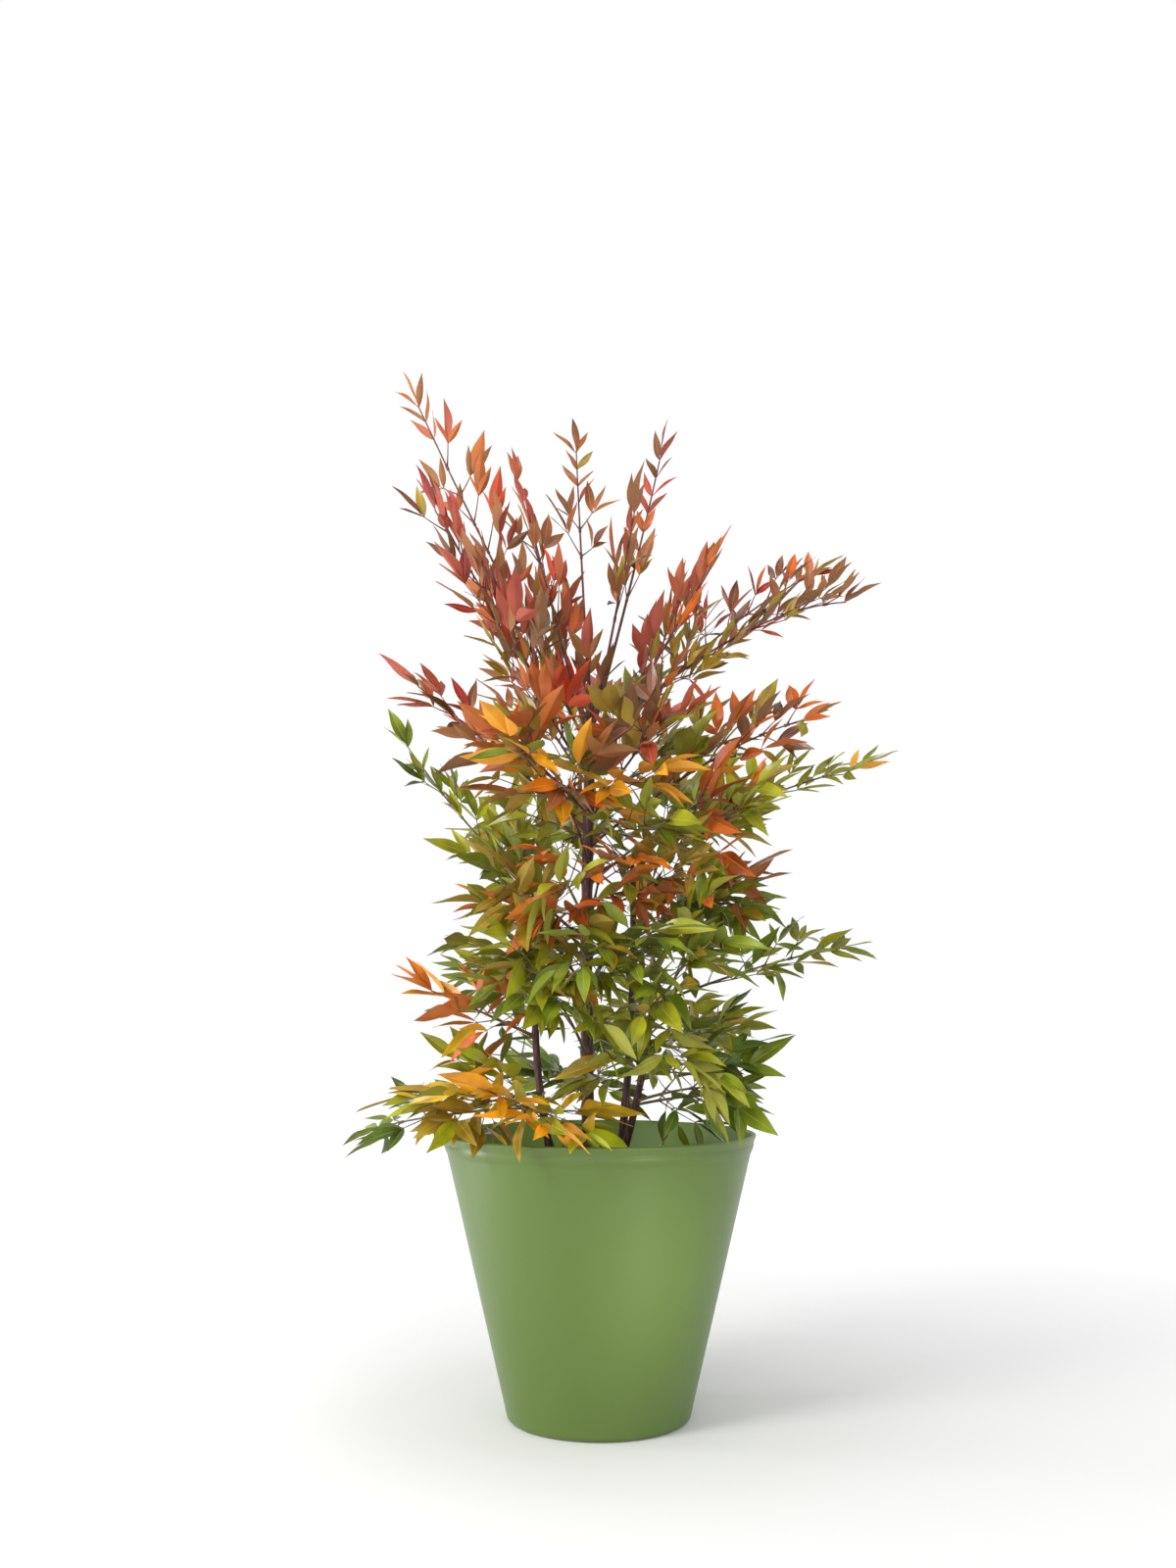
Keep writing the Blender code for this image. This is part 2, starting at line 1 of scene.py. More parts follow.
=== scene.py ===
"""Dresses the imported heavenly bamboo: leaflets, twigs, bark, soil, planter, light and camera."""
import itertools
import math
import random
from collections import defaultdict, namedtuple

import bpy
import numpy as np
from mathutils import Matrix, Vector, noise
from mathutils.bvhtree import BVHTree


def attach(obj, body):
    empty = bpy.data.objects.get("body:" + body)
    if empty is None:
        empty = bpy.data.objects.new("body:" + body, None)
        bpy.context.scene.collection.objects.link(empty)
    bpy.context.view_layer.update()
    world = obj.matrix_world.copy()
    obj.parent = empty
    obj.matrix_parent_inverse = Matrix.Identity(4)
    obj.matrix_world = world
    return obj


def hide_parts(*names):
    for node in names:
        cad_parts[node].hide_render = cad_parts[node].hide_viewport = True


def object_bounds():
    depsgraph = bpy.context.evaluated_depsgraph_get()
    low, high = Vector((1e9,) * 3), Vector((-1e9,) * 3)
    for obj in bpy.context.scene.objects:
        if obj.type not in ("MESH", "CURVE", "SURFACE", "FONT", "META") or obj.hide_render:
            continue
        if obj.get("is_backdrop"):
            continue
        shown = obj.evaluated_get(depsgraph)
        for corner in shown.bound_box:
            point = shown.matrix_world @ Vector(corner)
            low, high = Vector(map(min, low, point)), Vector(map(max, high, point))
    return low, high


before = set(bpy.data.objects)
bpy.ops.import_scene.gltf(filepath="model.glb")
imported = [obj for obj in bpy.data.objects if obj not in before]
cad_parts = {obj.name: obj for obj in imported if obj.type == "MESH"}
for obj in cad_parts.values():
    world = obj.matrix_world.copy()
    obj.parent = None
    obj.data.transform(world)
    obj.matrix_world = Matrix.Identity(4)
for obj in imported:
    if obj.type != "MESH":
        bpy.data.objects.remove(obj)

SEED = 11
SEED_STEP = 31
UP = Vector((0.0, 0.0, 1.0))
WHITE = (1.0, 1.0, 1.0)

# The planter and the soil, in metres, sized as in the CAD
POT_HEIGHT = 0.320
POT_RIM_RADIUS = 0.1745
POT_FOOT_RADIUS = 0.1020
POT_WALL = 0.0045
POT_FLOOR = 0.006
POT_LIP_BAND = 0.019
POT_LIP_PROUD = 0.0012
POT_FOOT_ROUND = 0.008
POT_WALL_TILT = -6
CLEAR = 0.0003
SOIL_EDGE = POT_HEIGHT - 0.038
SOIL_MOUND = 0.015
SOIL_FLAT_RADIUS = 0.085
SOIL_TOP = SOIL_EDGE + SOIL_MOUND

# What the scene adds to them. The ledge under the lip and the ring on it are rows of (share of proud, rise)
POT_SIDES = 160
POT_ROWS = 23
POT_LEDGE = ((-0.2, -0.0016), (0.5, -0.0004), (0.9, 0.0008))
POT_LEDGE_ROOM = 0.004
POT_RING = ((1.0, -0.0014), (0.45, 0.0), (1.0, 0.0014))
POT_RING_BELOW_RIM = 0.010
POT_RIM_DRAW = 0.0002
POT_RIM_START = 1.6
POT_ROUGHNESS = (0.34, 0.40)
# How much paler the planter's inside is painted: painted light for the light that comes through its thin wall
INSIDE_PAINTED_LIGHT = 2.3
SOIL_RINGS = 46
SOIL_SIDES = 150
SOIL_ROWS = 6
SOIL_ROW_ROOM = 0.004
SOIL_ROUGHNESS = 0.0030
SOIL_NOISE = ((32, 1.0, 1.0), (95, 4.0, 0.6), (260, 9.0, 0.4))
CRUMBS = 1100
CRUMB_SIZES = (0.0014, 0.0050)
CRUMB_SHAPES = ((0.7, 1.5), (0.6, 1.0), (0.4, 0.8))
CRUMB_CORNERS = 6
CRUMB_ZIGZAG = 0.45
CRUMB_TILT = 0.5
CRUMB_JITTER = (0.75, 1.15)
CRUMB_CANE_ROOM = 0.013
CRUMB_WALL_ROOM = 0.006

# Canes and their bark
CANE_FLARE = 0.45
CANE_FLARE_HEIGHT = 0.016
CANE_SIDES = 32
CANE_STEP = 0.0030
CANE_RELIEF = 0.085
CANE_BUD = 0.012
BUD_TIP = 0.35
SCAR_STEP = 0.031
SCAR_HALF = 0.0016
SCAR_SWELL = 0.10
SHEATH_LENGTH = 0.013
SHEATH_ABOVE = 0.003
SHEATH_RIM = 6
SHEATH_EASE = 1.5
SHEATH_SWELL = 0.20
KNOT_ROUND = 2.2
KNOT_LONG = 90
KNOT_SHARE = 0.5
FURROW_ROUND = 1.6
FURROW_LONG = 22
FURROW_SHIFT = 900
RIDGES = 3
RIDGE_SHIFT = 500
RIDGE_RELIEF = 0.10

# Limbs, stems and twigs
LIMB_RADIUS = 0.0019
LIMB_SUNK = 0.004
LIMB_ROWS = 20
BOUGH_ROWS = 14
BOUGH_SIDES = 12
BOUGH_FOOT = (1.5, 1.4, 1.15)
BOUGH_RELIEF = 0.12
BOUGH_ROUND = 2
BOUGH_LONG = 0.7
BOUGH_SHIFT = 100
STEM_RADIUS = 0.0015
STEM_END_RADIUS = 0.0008
STEM_SIDES = 7
STEM_ROWS = 16
STEM_ROOM_ROWS = 6
NODE_RADII = (0.0019, 0.0016)
NODE_HALF = 0.003
TWIG_RADII = (0.0009, 0.0005)
TWIG_SIDES = 5
TWIG_STATIONS = (0.0, 0.08, 0.3, 0.55, 0.8, 1.0)
TWIGLET_RADII = (0.0006, 0.0004)
JOINT_LENGTH = 0.006
JOINT_SWELL = 0.40
TUBE_TIP = 0.5
CREASE = 70

# The growth rule of the CAD, carried to closer and finer twigs
TWIG_STEP = 0.036
TWIG_ANGLE = math.radians(48)
TWIG_SHORTEST = 0.026
TWIG_TAPER = 0.60
TWIG_BEND = 0.20
TWIG_CUP = 0.15
TWIG_CURVE = 0.06
TWIG_LIFT = 0.4
TWIG_FREE = 0.15
TWIG_JITTER = (-0.40, 0.25)
TWIG_ROLL = math.radians(40)
TWIG_TURN = 1.6
TWIGLET_SHARE = 0.50
TWIGLET_SHORTEST = 0.011
LEAFLET_STEP = 0.024
LEAFLET_ANGLE = math.radians(42)
LEAFLET_FIRST = 0.003
TWIG_END_ROOM = 0.4
STEM_END_ROOM = 0.5
ANGLE_JITTER = math.radians(12)
PITCH_JITTER = 0.38
ROLL_JITTER = math.radians(52)
LEANS = (1.0, 1.0, 1.2, 1.5, 1.8, 2.2, 2.6)
TWIG_LEANS = LEANS[:4]

# A leaflet: its outline is the half width at each station, as a share of the widest
SOLID_LEAF_LENGTH = 0.056
LEAF_LENGTH = 0.040
LEAF_EVEN = 0.42
LEAF_SCALES = {"gold": 1.18, "amber": 1.28, "olive": 1.10}
LEAF_WIDTH = 0.32
LEAF_SLIM = 0.58
LEAF_BROAD = 0.28
LEAF_WIDTHS = (0.86, 1.14)
LEAF_FOLDS = (0.20, 0.58)
LEAF_CURLS = (0.02, 0.16)
LEAF_DROOPS = (0.02, 0.13)
LEAF_HANG = 0.10
LEAF_TWIST = 0.45
LEAF_WAVE = 0.016
LEAF_WAVES = 8
LEAF_THICKNESS = 0.0005
LEAF_THIN = 0.35
LEAF_JITTER = 0.24
LEAF_TERMINAL = 1.12
LEAF_SIDE = 0.94
LEAF_STATIONS = (0.06, 0.17, 0.30, 0.43, 0.57, 0.71, 0.84, 0.94)
LEAF_OUTLINE = (0.22, 0.62, 0.92, 1.00, 0.90, 0.65, 0.34, 0.12)
LEAF_ACROSS = (-1.0, -0.52, -0.06, 0.06, 0.52, 1.0)
LEAF_CREASE = 16
LEAF_LEVEL = 1.70
DROOP_SHARE = 0.45

# What stands for a leaflet and a twig where room is tested, and how near the box's faces they may come
KITE = ((0.20, 0, 0), (0.45, -1, 0), (0.97, 0, 0), (0.45, 1, 0), (0.5, 0, 1), (0.5, 0, -1))
KITE_ROOM = 0.0032
PRISM_ANGLES = (0.0, 2.094, 4.189)
CELL = 0.06
EDGE = 0.002
CROWN_LOWEST = 0.290

# The floor, whose glow grows over GLOW_REACH, and the sky's colour by the height of a ray's direction
FLOOR_RADIUS = 9.0
FLOOR_SIDES = 96
FLOOR_GLOW = 0.42
GLOW_REACH = (0.25, 1.7)
SKY = ((0.0, WHITE), (0.56, WHITE), (0.85, (0.25, 0.25, 0.26)))

# The photograph's camera, with its focal length and upward shift in the photo's pixels
CAMERA_PLACE = (-0.0121, -1.70, 0.471)
CAMERA_SENSOR = 36.0
PHOTO_HEIGHT = 1600
FOCAL_PIXELS = 1545
SHIFT_PIXELS = 218

Cane = namedtuple("Cane", "name foot top foot_radius top_radius bow")
Frond = namedtuple("Frond", "name cane height tip arch bare roll lift leaf spread palette")
Leaf = namedtuple("Leaf", "base along normal length width fold curl droop twist wave")
Tube = namedtuple("Tube", "frond places radii sides")

CANES = [
    Cane("main", (-0.011, 0.000), (-0.008, 0.000, 0.800), 0.0074, 0.0050, (-0.004, 0.0)),
    Cane("right", (0.024, -0.010), (0.037, -0.016, 0.625), 0.0046, 0.0032, (0.006, 0.0)),
    Cane("fore", (0.026, -0.034), (0.058, -0.052, 0.470), 0.0042, 0.0030, (0.004, -0.006)),
    Cane("left", (-0.054, -0.006), (-0.064, -0.012, 0.575), 0.0044, 0.0030, (-0.012, 0.0)),
]

# The fronds of the CAD, eight of them drawn in a little, and last the palette of their autumn tints.
# Heights and tips are in metres and rolls in degrees; bare and spread are shares of the length
FROND_ROWS = [
    ("top_left_high", "main", 0.762, (-0.223, 0.02, 1.182), -0.03, 0.3, 60, 0.55, 0.9, 0.075, "flame"),
    ("top_left_mid", "main", 0.744, (-0.2, -0.075, 1.035), -0.02, 0.2, -55, 0.5, 1.02, 0.17, "bronze"),
    ("top_left_inner", "main", 0.772, (-0.085, -0.03, 1.035), -0.03, 0.32, -20, 0.5, 1.12, 0.09, "flame"),
    ("top_left_low", "main", 0.722, (-0.13, -0.135, 0.9), -0.02, 0.22, -50, 0.5, 1.25, 0.23, "flame"),
    ("top_mid_left", "main", 0.782, (-0.105, 0.075, 1.118), -0.04, 0.52, 20, 0.5, 0.92, 0.06, "bronze"),
    ("top_mid", "main", 0.786, (-0.028, 0.13, 1.168), -0.06, 0.6, 0, 0.5, 0.88, 0.06, "bronze"),
    ("top_mid_right", "main", 0.79, (0.08, 0.05, 1.134), -0.05, 0.44, 30, 0.5, 0.88, 0.05, "bronze"),
    ("top_fore", "main", 0.776, (-0.012, -0.105, 0.868), -0.04, 0.28, 0, 0.6, 1.0, 0.1, "flame"),
    ("top_right_fore", "main", 0.784, (0.046, -0.07, 1.04), -0.04, 0.46, 25, 0.5, 0.95, 0.08, "bronze"),
    ("right_long", "main", 0.758, (0.318, -0.02, 0.912), 0.2, 0.26, 40, 0.6, 0.95, 0.12, "bronze"),
    ("right_long_back", "main", 0.742, (0.295, 0.12, 0.995), 0.12, 0.26, 45, 0.55, 0.95, 0.085, "bronze"),
    ("right_inner", "main", 0.74, (0.142, -0.06, 0.973), -0.02, 0.36, 35, 0.55, 1.02, 0.13, "flame"),
    ("right_high", "main", 0.7, (0.188, -0.02, 0.77), 0.04, 0.2, 45, 0.15, 1.35, 0.16, "olive"),
    ("back_high", "main", 0.726, (0.05, 0.235, 0.865), 0.02, 0.22, 10, 0.4, 1.2, 0.18, "bronze"),
    ("back_left_high", "main", 0.712, (-0.105, 0.2, 0.88), 0.0, 0.22, -20, 0.4, 1.2, 0.2, "bronze"),
    ("left_red", "main", 0.664, (-0.236, -0.04, 0.842), 0.02, 0.28, -30, 0.1, 1.12, 0.1, "flame"),
    ("fore_high_left", "main", 0.68, (-0.108, -0.162, 0.742), 0.04, 0.2, -35, 0.0, 1.5, 0.24, "rust"),
    ("fore_high_right", "main", 0.672, (0.08, -0.17, 0.77), 0.05, 0.2, 35, 0.2, 1.4, 0.3, "rust"),
    ("right_bronze", "main", 0.645, (0.266, -0.085, 0.78), 0.12, 0.24, 45, 0.2, 1.15, 0.115, "rust"),
    ("right_lime", "main", 0.61, (0.346, 0.035, 0.748), 0.06, 0.3, 35, 0.15, 1.0, 0.09, "lime"),
    ("fore_high", "main", 0.63, (-0.05, -0.205, 0.69), 0.1, 0.2, 0, -0.45, 1.5, 0.38, "copper"),
    ("back_right", "main", 0.6, (0.15, 0.225, 0.72), 0.06, 0.24, 25, 0.1, 1.4, 0.24, "olive"),
    ("left_green", "main", 0.54, (-0.248, 0.065, 0.8), -0.09, 0.3, -45, 0.3, 1.0, 0.08, "green"),
    ("right_rust", "main", 0.575, (0.18, -0.165, 0.675), 0.05, 0.22, 40, -0.15, 1.4, 0.22, "copper"),
    ("back_mid", "main", 0.56, (-0.1, 0.24, 0.71), 0.06, 0.24, -15, 0.0, 1.4, 0.28, "mixed"),
    ("fore_rust", "main", 0.535, (0.01, -0.235, 0.61), 0.12, 0.2, 15, -0.5, 1.5, 0.4, "copper"),
    ("left_mid", "main", 0.515, (-0.14, -0.06, 0.65), 0.02, 0.2, -50, -0.1, 1.5, 0.15, "mixed"),
    ("right_orange", "main", 0.52, (0.2, -0.1, 0.605), 0.04, 0.24, 40, -0.2, 1.4, 0.21, "copper"),
    ("right_green_high", "right", 0.54, (0.185, 0.02, 0.595), 0.08, 0.2, 35, -0.1, 1.4, 0.2, "green"),
    ("fore_left_mid", "main", 0.48, (-0.095, -0.195, 0.575), 0.1, 0.2, -35, -0.4, 1.5, 0.3, "copper"),
    ("fore_right_mid", "fore", 0.44, (0.105, -0.215, 0.52), 0.12, 0.2, 30, -0.4, 1.5, 0.34, "mixed"),
    ("right_green_far", "right", 0.455, (0.326, 0.08, 0.535), 0.06, 0.3, 30, -0.05, 1.02, 0.11, "green"),
    ("back_low_left", "left", 0.45, (-0.115, 0.215, 0.5), 0.08, 0.22, -20, -0.15, 1.4, 0.26, "green"),
    ("left_amber", "left", 0.43, (-0.24, -0.05, 0.5), 0.02, 0.24, -45, 0.15, 1.15, 0.12, "amber"),
    ("fore_mid", "main", 0.455, (0.015, -0.24, 0.52), 0.14, 0.2, 0, -0.5, 1.5, 0.4, "mixed"),
    ("back_low_right", "right", 0.4, (0.11, 0.245, 0.44), 0.1, 0.22, 15, -0.2, 1.4, 0.3, "green"),
    ("right_green_low", "right", 0.41, (0.185, -0.05, 0.43), 0.1, 0.2, 35, -0.2, 1.4, 0.22, "green"),
    ("left_low", "left", 0.395, (-0.15, 0.05, 0.43), 0.1, 0.2, -40, -0.15, 1.4, 0.2, "green"),
    ("fore_low_left", "main", 0.41, (-0.07, -0.23, 0.48), 0.14, 0.2, -15, -0.5, 1.5, 0.38, "mixed"),
    ("fore_low", "fore", 0.38, (0.045, -0.235, 0.4), 0.18, 0.18, 0, -0.45, 1.5, 0.36, "green"),
    ("left_olive", "left", 0.365, (-0.195, -0.135, 0.325), 0.08, 0.2, -35, -0.15, 1.4, 0.26, "gold"),
    ("right_fore_low", "fore", 0.36, (0.17, -0.145, 0.36), 0.14, 0.18, 35, -0.25, 1.4, 0.18, "shade"),
    ("right_foot", "right", 0.35, (0.205, 0.05, 0.34), 0.12, 0.2, 25, -0.15, 1.25, 0.22, "shade"),
    ("left_foot", "left", 0.348, (-0.3, 0.04, 0.308), 0.06, 0.24, -20, -0.1, 1.2, 0.1, "shade"),
    ("fore_gold", "left", 0.34, (-0.085, -0.205, 0.325), 0.18, 0.2, -10, -0.25, 1.4, 0.34, "gold"),
    ("back_foot", "main", 0.345, (-0.03, 0.23, 0.355), 0.14, 0.22, 0, -0.15, 1.4, 0.32, "shade"),
]
FRONDS = [Frond(*row) for row in FROND_ROWS]

# The fronds whose bare share is a bough of its own in the CAD
BOUGHS = (
    "top_left_high",
    "top_mid_right",
    "right_long",
    "left_red",
    "right_bronze",
    "right_lime",
    "left_green",
    "right_green_far",
)

# Upper side of a leaflet by tint, in 8-bit sRGB, and the slot that the tint belongs to
TINTS = {
    "scarlet": ((204, 56, 26), "leaf_red"),
    "crimson": ((168, 58, 50), "leaf_red"),
    "coral": ((178, 78, 52), "leaf_red"),
    "bronze": ((152, 90, 46), "leaf_bronze"),
    "umber": ((118, 68, 38), "leaf_bronze"),
    "rust": ((190, 92, 30), "leaf_orange"),
    "orange": ((218, 116, 20), "leaf_orange"),
    "amber": ((232, 156, 22), "leaf_amber"),
    "yellow": ((226, 182, 30), "leaf_amber"),
    "olive": ((158, 130, 36), "leaf_green"),
    "lime": ((166, 174, 28), "leaf_green"),
    "leaf": ((142, 144, 28), "leaf_green"),
    "green": ((112, 128, 28), "leaf_green"),
    "deep": ((82, 104, 34), "leaf_green"),
}
RIB = (198, 178, 118)
UNDERSIDE = (146, 136, 92)

# The dark, middle and pale tone of stalks and boughs, in linear light
STALKS = {
    "red": ((0.060, 0.018, 0.018), (0.150, 0.042, 0.034), (0.300, 0.100, 0.060)),
    "green": ((0.075, 0.055, 0.028), (0.150, 0.120, 0.050), (0.210, 0.220, 0.090)),
}
BOUGH_BARK = ((0.040, 0.014, 0.016), (0.105, 0.034, 0.030), (0.210, 0.080, 0.055))

# The weight of each tint among a frond's sprays, and the palette that its sprays near the cane mostly take
PALETTES = {
    "flame": {"crimson": 3, "coral": 3, "bronze": 3, "umber": 3, "scarlet": 1, "rust": 1},
    "bronze": {"bronze": 4, "umber": 3, "coral": 3, "crimson": 2, "olive": 2, "rust": 1},
    "rust": {"bronze": 4, "olive": 4, "rust": 3, "leaf": 2, "umber": 2, "coral": 1},
    "copper": {"olive": 4, "leaf": 3, "rust": 3, "bronze": 3, "green": 2, "orange": 1, "amber": 1},
    "amber": {"amber": 4, "orange": 3, "yellow": 1, "olive": 1},
    "gold": {"yellow": 2, "amber": 2, "olive": 2, "lime": 2, "leaf": 2},
    "lime": {"lime": 3, "leaf": 3, "amber": 2, "olive": 1},
    "olive": {"olive": 4, "leaf": 2, "green": 2, "bronze": 2},
    "mixed": {"green": 5, "leaf": 4, "olive": 3, "amber": 1, "rust": 1},
    "green": {"green": 5, "leaf": 4, "deep": 2, "lime": 1, "olive": 1},
    "shade": {"deep": 5, "green": 4, "leaf": 1},
}
INNER_PALETTES = {"flame": "rust", "bronze": "olive", "rust": "olive", "copper": "mixed", "olive": "green"}
INNER_SHARE = 0.45
INNER_ODDS = 0.7
SPRAY_KEEPS = 0.80
REDDISH = ("flame", "bronze", "rust", "copper", "amber")

# Lamps as (name, place, target, size, power, colour, spread), in metres, watts and degrees
LIGHTS = [
    ("key", (-1.9, -1.7, 1.9), (0.0, 0.0, 0.55), (0.9, 0.9), 40.0, (1.0, 0.985, 0.95), 180),
    ("strip", (0.195, -0.39, 0.18), (0.0, 0.0, 0.17), (0.07, 0.18), 0.062, WHITE, 50),
    ("edge", (-1.2, 0.1, 0.25), (0.0, 0.0, 0.18), (0.20, 0.45), 4.2, WHITE, 180),
    ("front", (-0.4, -2.8, 0.85), (0.0, 0.0, 0.55), (0.8, 0.8), 11.0, WHITE, 180),
    ("top", (0.2, -0.2, 2.9), (0.0, 0.0, 0.5), (1.4, 1.4), 13.0, WHITE, 180),
]


def colour_mix(a, b, share):
    return tuple(x + (y - x) * share for x, y in zip(a, b))


def linear(colour):
    """An 8-bit sRGB colour in linear light."""
    shares = [x / 255 for x in colour]
    return tuple(x / 12.92 if x <= 0.04045 else ((x + 0.055) / 1.055) ** 2.4 for x in shares)


def scaled(colour, factor):
    return tuple(min(1.0, x * factor) for x in colour)


def finish(name, roughness, specular=0.50):
    """A Principled material, as (material, node tree, shader)."""
    material = bpy.data.materials.new(name)
    material.use_nodes = True
    shader = material.node_tree.nodes["Principled BSDF"]
    shader.inputs["Roughness"].default_value = roughness
    shader.inputs["Specular IOR Level"].default_value = specular
    return material, material.node_tree, shader


def grain(tree, scale, detail=3.0, stretch=(1.0, 1.0, 1.0)):
    """Noise in the piece's own coordinates."""
    place = tree.nodes.new("ShaderNodeTexCoord")
    turn = tree.nodes.new("ShaderNodeMapping")
    turn.inputs["Scale"].default_value = stretch
    made = tree.nodes.new("ShaderNodeTexNoise")
    made.inputs["Scale"].default_value = scale
    made.inputs["Detail"].default_value = detail
    tree.links.new(place.outputs["Object"], turn.inputs["Vector"])
    tree.links.new(turn.outputs["Vector"], made.inputs["Vector"])
    return made.outputs["Fac"]


def ramp(tree, factor, stops):
    """Colours laid over a factor, as (position, colour) stops."""
    made = tree.nodes.new("ShaderNodeValToRGB")
    elements = made.color_ramp.elements
    while len(elements) < len(stops):
        elements.new(0.5)
    for element, (position, colour) in zip(elements, stops):
        element.position = position
        element.color = (*colour, 1.0)
    tree.links.new(factor, made.inputs["Fac"])
    return made.outputs["Color"]


def paint(tree, shader, factor, stops, lift=1.0):
    """A ramp of colours, each made lighter by lift, as the base colour."""
    stops = [(position, scaled(colour, lift)) for position, colour in stops]
    tree.links.new(ramp(tree, factor, stops), shader.inputs["Base Color"])


def add_bump(tree, shader, height, strength, distance):
    made = tree.nodes.new("ShaderNodeBump")
    made.inputs["Strength"].default_value = strength
    made.inputs["Distance"].default_value = distance
    tree.links.new(height, made.inputs["Height"])
    tree.links.new(made.outputs["Normal"], shader.inputs["Normal"])


def blade_material(name, colour, roughness, contrast):
    """A leaflet's skin: its tint, clouded between and within leaflets, and finely veined."""
    material, tree, shader = finish(name, roughness, specular=0.40)
    greener = colour_mix(colour, (colour[1], colour[1], colour[2]), 0.10)
    stops = ((0.30, scaled(colour, 1 - contrast)), (0.50, colour), (0.70, scaled(greener, 1 + contrast)))
    paint(tree, shader, grain(tree, scale=26.0, detail=2.5), stops)
    add_bump(tree, shader, grain(tree, scale=520.0, detail=2.0), strength=0.22, distance=0.0004)
    return material


def blade_materials(tint):
    """The upper skin, the midrib and the duller, paler underside."""
    colour = linear(TINTS[tint][0])
    rib = colour_mix(colour, linear(RIB), 0.30)
    under = colour_mix(colour, linear(UNDERSIDE), 0.16)
    return [
        blade_material("blade_" + tint, colour, roughness=0.26, contrast=0.46),
        blade_material("midrib_" + tint, rib, roughness=0.48, contrast=0.12),
        blade_material("underside_" + tint, under, roughness=0.58, contrast=0.16),
    ]


def twig_material(name, dark, colour, pale):
    material, tree, shader = finish(name, roughness=0.46, specular=0.40)
    paint(tree, shader, grain(tree, scale=90.0), ((0.32, dark), (0.52, colour), (0.72, pale)))
    add_bump(tree, shader, grain(tree, scale=700.0, detail=2.0), strength=0.30, distance=0.0003)
    return material


def bark_material():
    """Dark maroon-brown bark, streaked lengthwise, greyer on its ridges."""
    material, tree, shader = finish("bark", roughness=0.62, specular=0.35)
    streaks = grain(tree, scale=60.0, detail=6.0, stretch=(7.0, 7.0, 0.8))
    stops = ((0.30, (0.020, 0.009, 0.010)), (0.48, (0.060, 0.024, 0.024)))
    stops += ((0.62, (0.115, 0.050, 0.042)), (0.78, (0.210, 0.130, 0.105)))
    paint(tree, shader, streaks, stops)
    add_bump(tree, shader, streaks, strength=0.65, distance=0.0008)
    return material


def soil_material(name, lift):
    """Peaty potting soil."""
    material, tree, shader = finish(name, roughness=0.94, specular=0.18)
    crumbs = grain(tree, scale=210.0, detail=6.0)
    stops = ((0.30, (0.012, 0.008, 0.006)), (0.52, (0.040, 0.026, 0.018)), (0.74, (0.105, 0.070, 0.046)))
    paint(tree, shader, crumbs, stops, lift)
    add_bump(tree, shader, crumbs, strength=0.9, distance=0.0016)
    return material


def pot_material(name, lift):
    """Satin olive-green plastic, slightly uneven in tone, with a faint moulded grain."""
    material, tree, shader = finish(name, POT_ROUGHNESS[1])
    tone = grain(tree, scale=3.2, detail=2.0, stretch=(1.0, 1.0, 0.35))
    stops = ((0.32, (0.080, 0.141, 0.019)), (0.50, (0.088, 0.150, 0.023)), (0.68, (0.097, 0.159, 0.028)))
    # A lift above 1 paints a paler copy of the plastic: on the planter's inside this is painted light
    paint(tree, shader, tone, stops, lift)
    wear = tree.nodes.new("ShaderNodeMapRange")
    wear.inputs["To Min"].default_value, wear.inputs["To Max"].default_value = POT_ROUGHNESS
    tree.links.new(grain(tree, scale=9.0, detail=4.0), wear.inputs["Value"])
    tree.links.new(wear.outputs["Result"], shader.inputs["Roughness"])
    add_bump(tree, shader, grain(tree, scale=1400.0, detail=2.0), strength=0.10, distance=0.0002)
    return material


class Skin:
    """The points and faces of one piece."""

    def __init__(self):
        self.points = []
        self.faces = []

    def add(self, points, faces):
        first = len(self.points)
        self.points += [tuple(point) for point in points]
        self.faces += [[first + i for i in face] for face in faces]

    def add_tube(self, places, radii, sides, relief=None):
        """A tube along places. relief gives the share by which a radius grows at (angle, station)."""
        across = None
        points = []
        for k, (place, radius) in enumerate(zip(places, radii)):
            direction = (places[min(k + 1, len(places) - 1)] - places[max(k - 1, 0)]).normalized()
            across = across or direction.orthogonal()
            across = (across - direction * across.dot(direction)).normalized()
            upward = direction.cross(across)
            for j in range(sides):
                angle = math.tau * j / sides
                wide = radius * (1 + relief(angle, k)) if relief else radius
                points.append(place + (across * math.cos(angle) + upward * math.sin(angle)) * wide)
        points.append(places[0])
        points.append(places[-1] + (places[-1] - places[-2]).normalized() * radii[-1] * TUBE_TIP)
        self.add(points, closed_faces(len(places), sides))

    def as_piece(self, name, materials, slot, nodes, slots=None, crease=CREASE):
        """Adds the piece as a smooth mesh on the root body, standing for CAD nodes."""
        piece = add_mesh(name, self.points, self.faces, materials)
        mesh = piece.data
        if slots:
            mesh.polygons.foreach_set("material_index", slots)
        mesh.polygons.foreach_set("use_smooth", [True] * len(mesh.polygons))
        mesh.set_sharp_from_angle(angle=math.radians(crease))
        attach(piece, "root")
        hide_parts(*nodes)


def add_mesh(name, points, faces, materials):
    mesh = bpy.data.meshes.new(name)
    mesh.from_pydata(points, [], faces)
    for material in materials:
        mesh.materials.append(material)
    made = bpy.data.objects.new(name, mesh)
    bpy.context.scene.collection.objects.link(made)
    return made


def polar(radius, angle, height=0.0):
    return Vector((radius * math.cos(angle), radius * math.sin(angle), height))


def closed_faces(rows, sides):
    """Quads between closed rings of points, then a fan to the point that ends either end."""
    faces = []
    for k, j in itertools.product(range(rows - 1), range(sides)):
        right = (j + 1) % sides
        faces.append([k * sides + j, k * sides + right, (k + 1) * sides + right, (k + 1) * sides + j])
    last = rows * sides
    faces += [[(j + 1) % sides, j, last] for j in range(sides)]
    faces += [[last - sides + j, last - sides + (j + 1) % sides, last + 1] for j in range(sides)]
    return faces


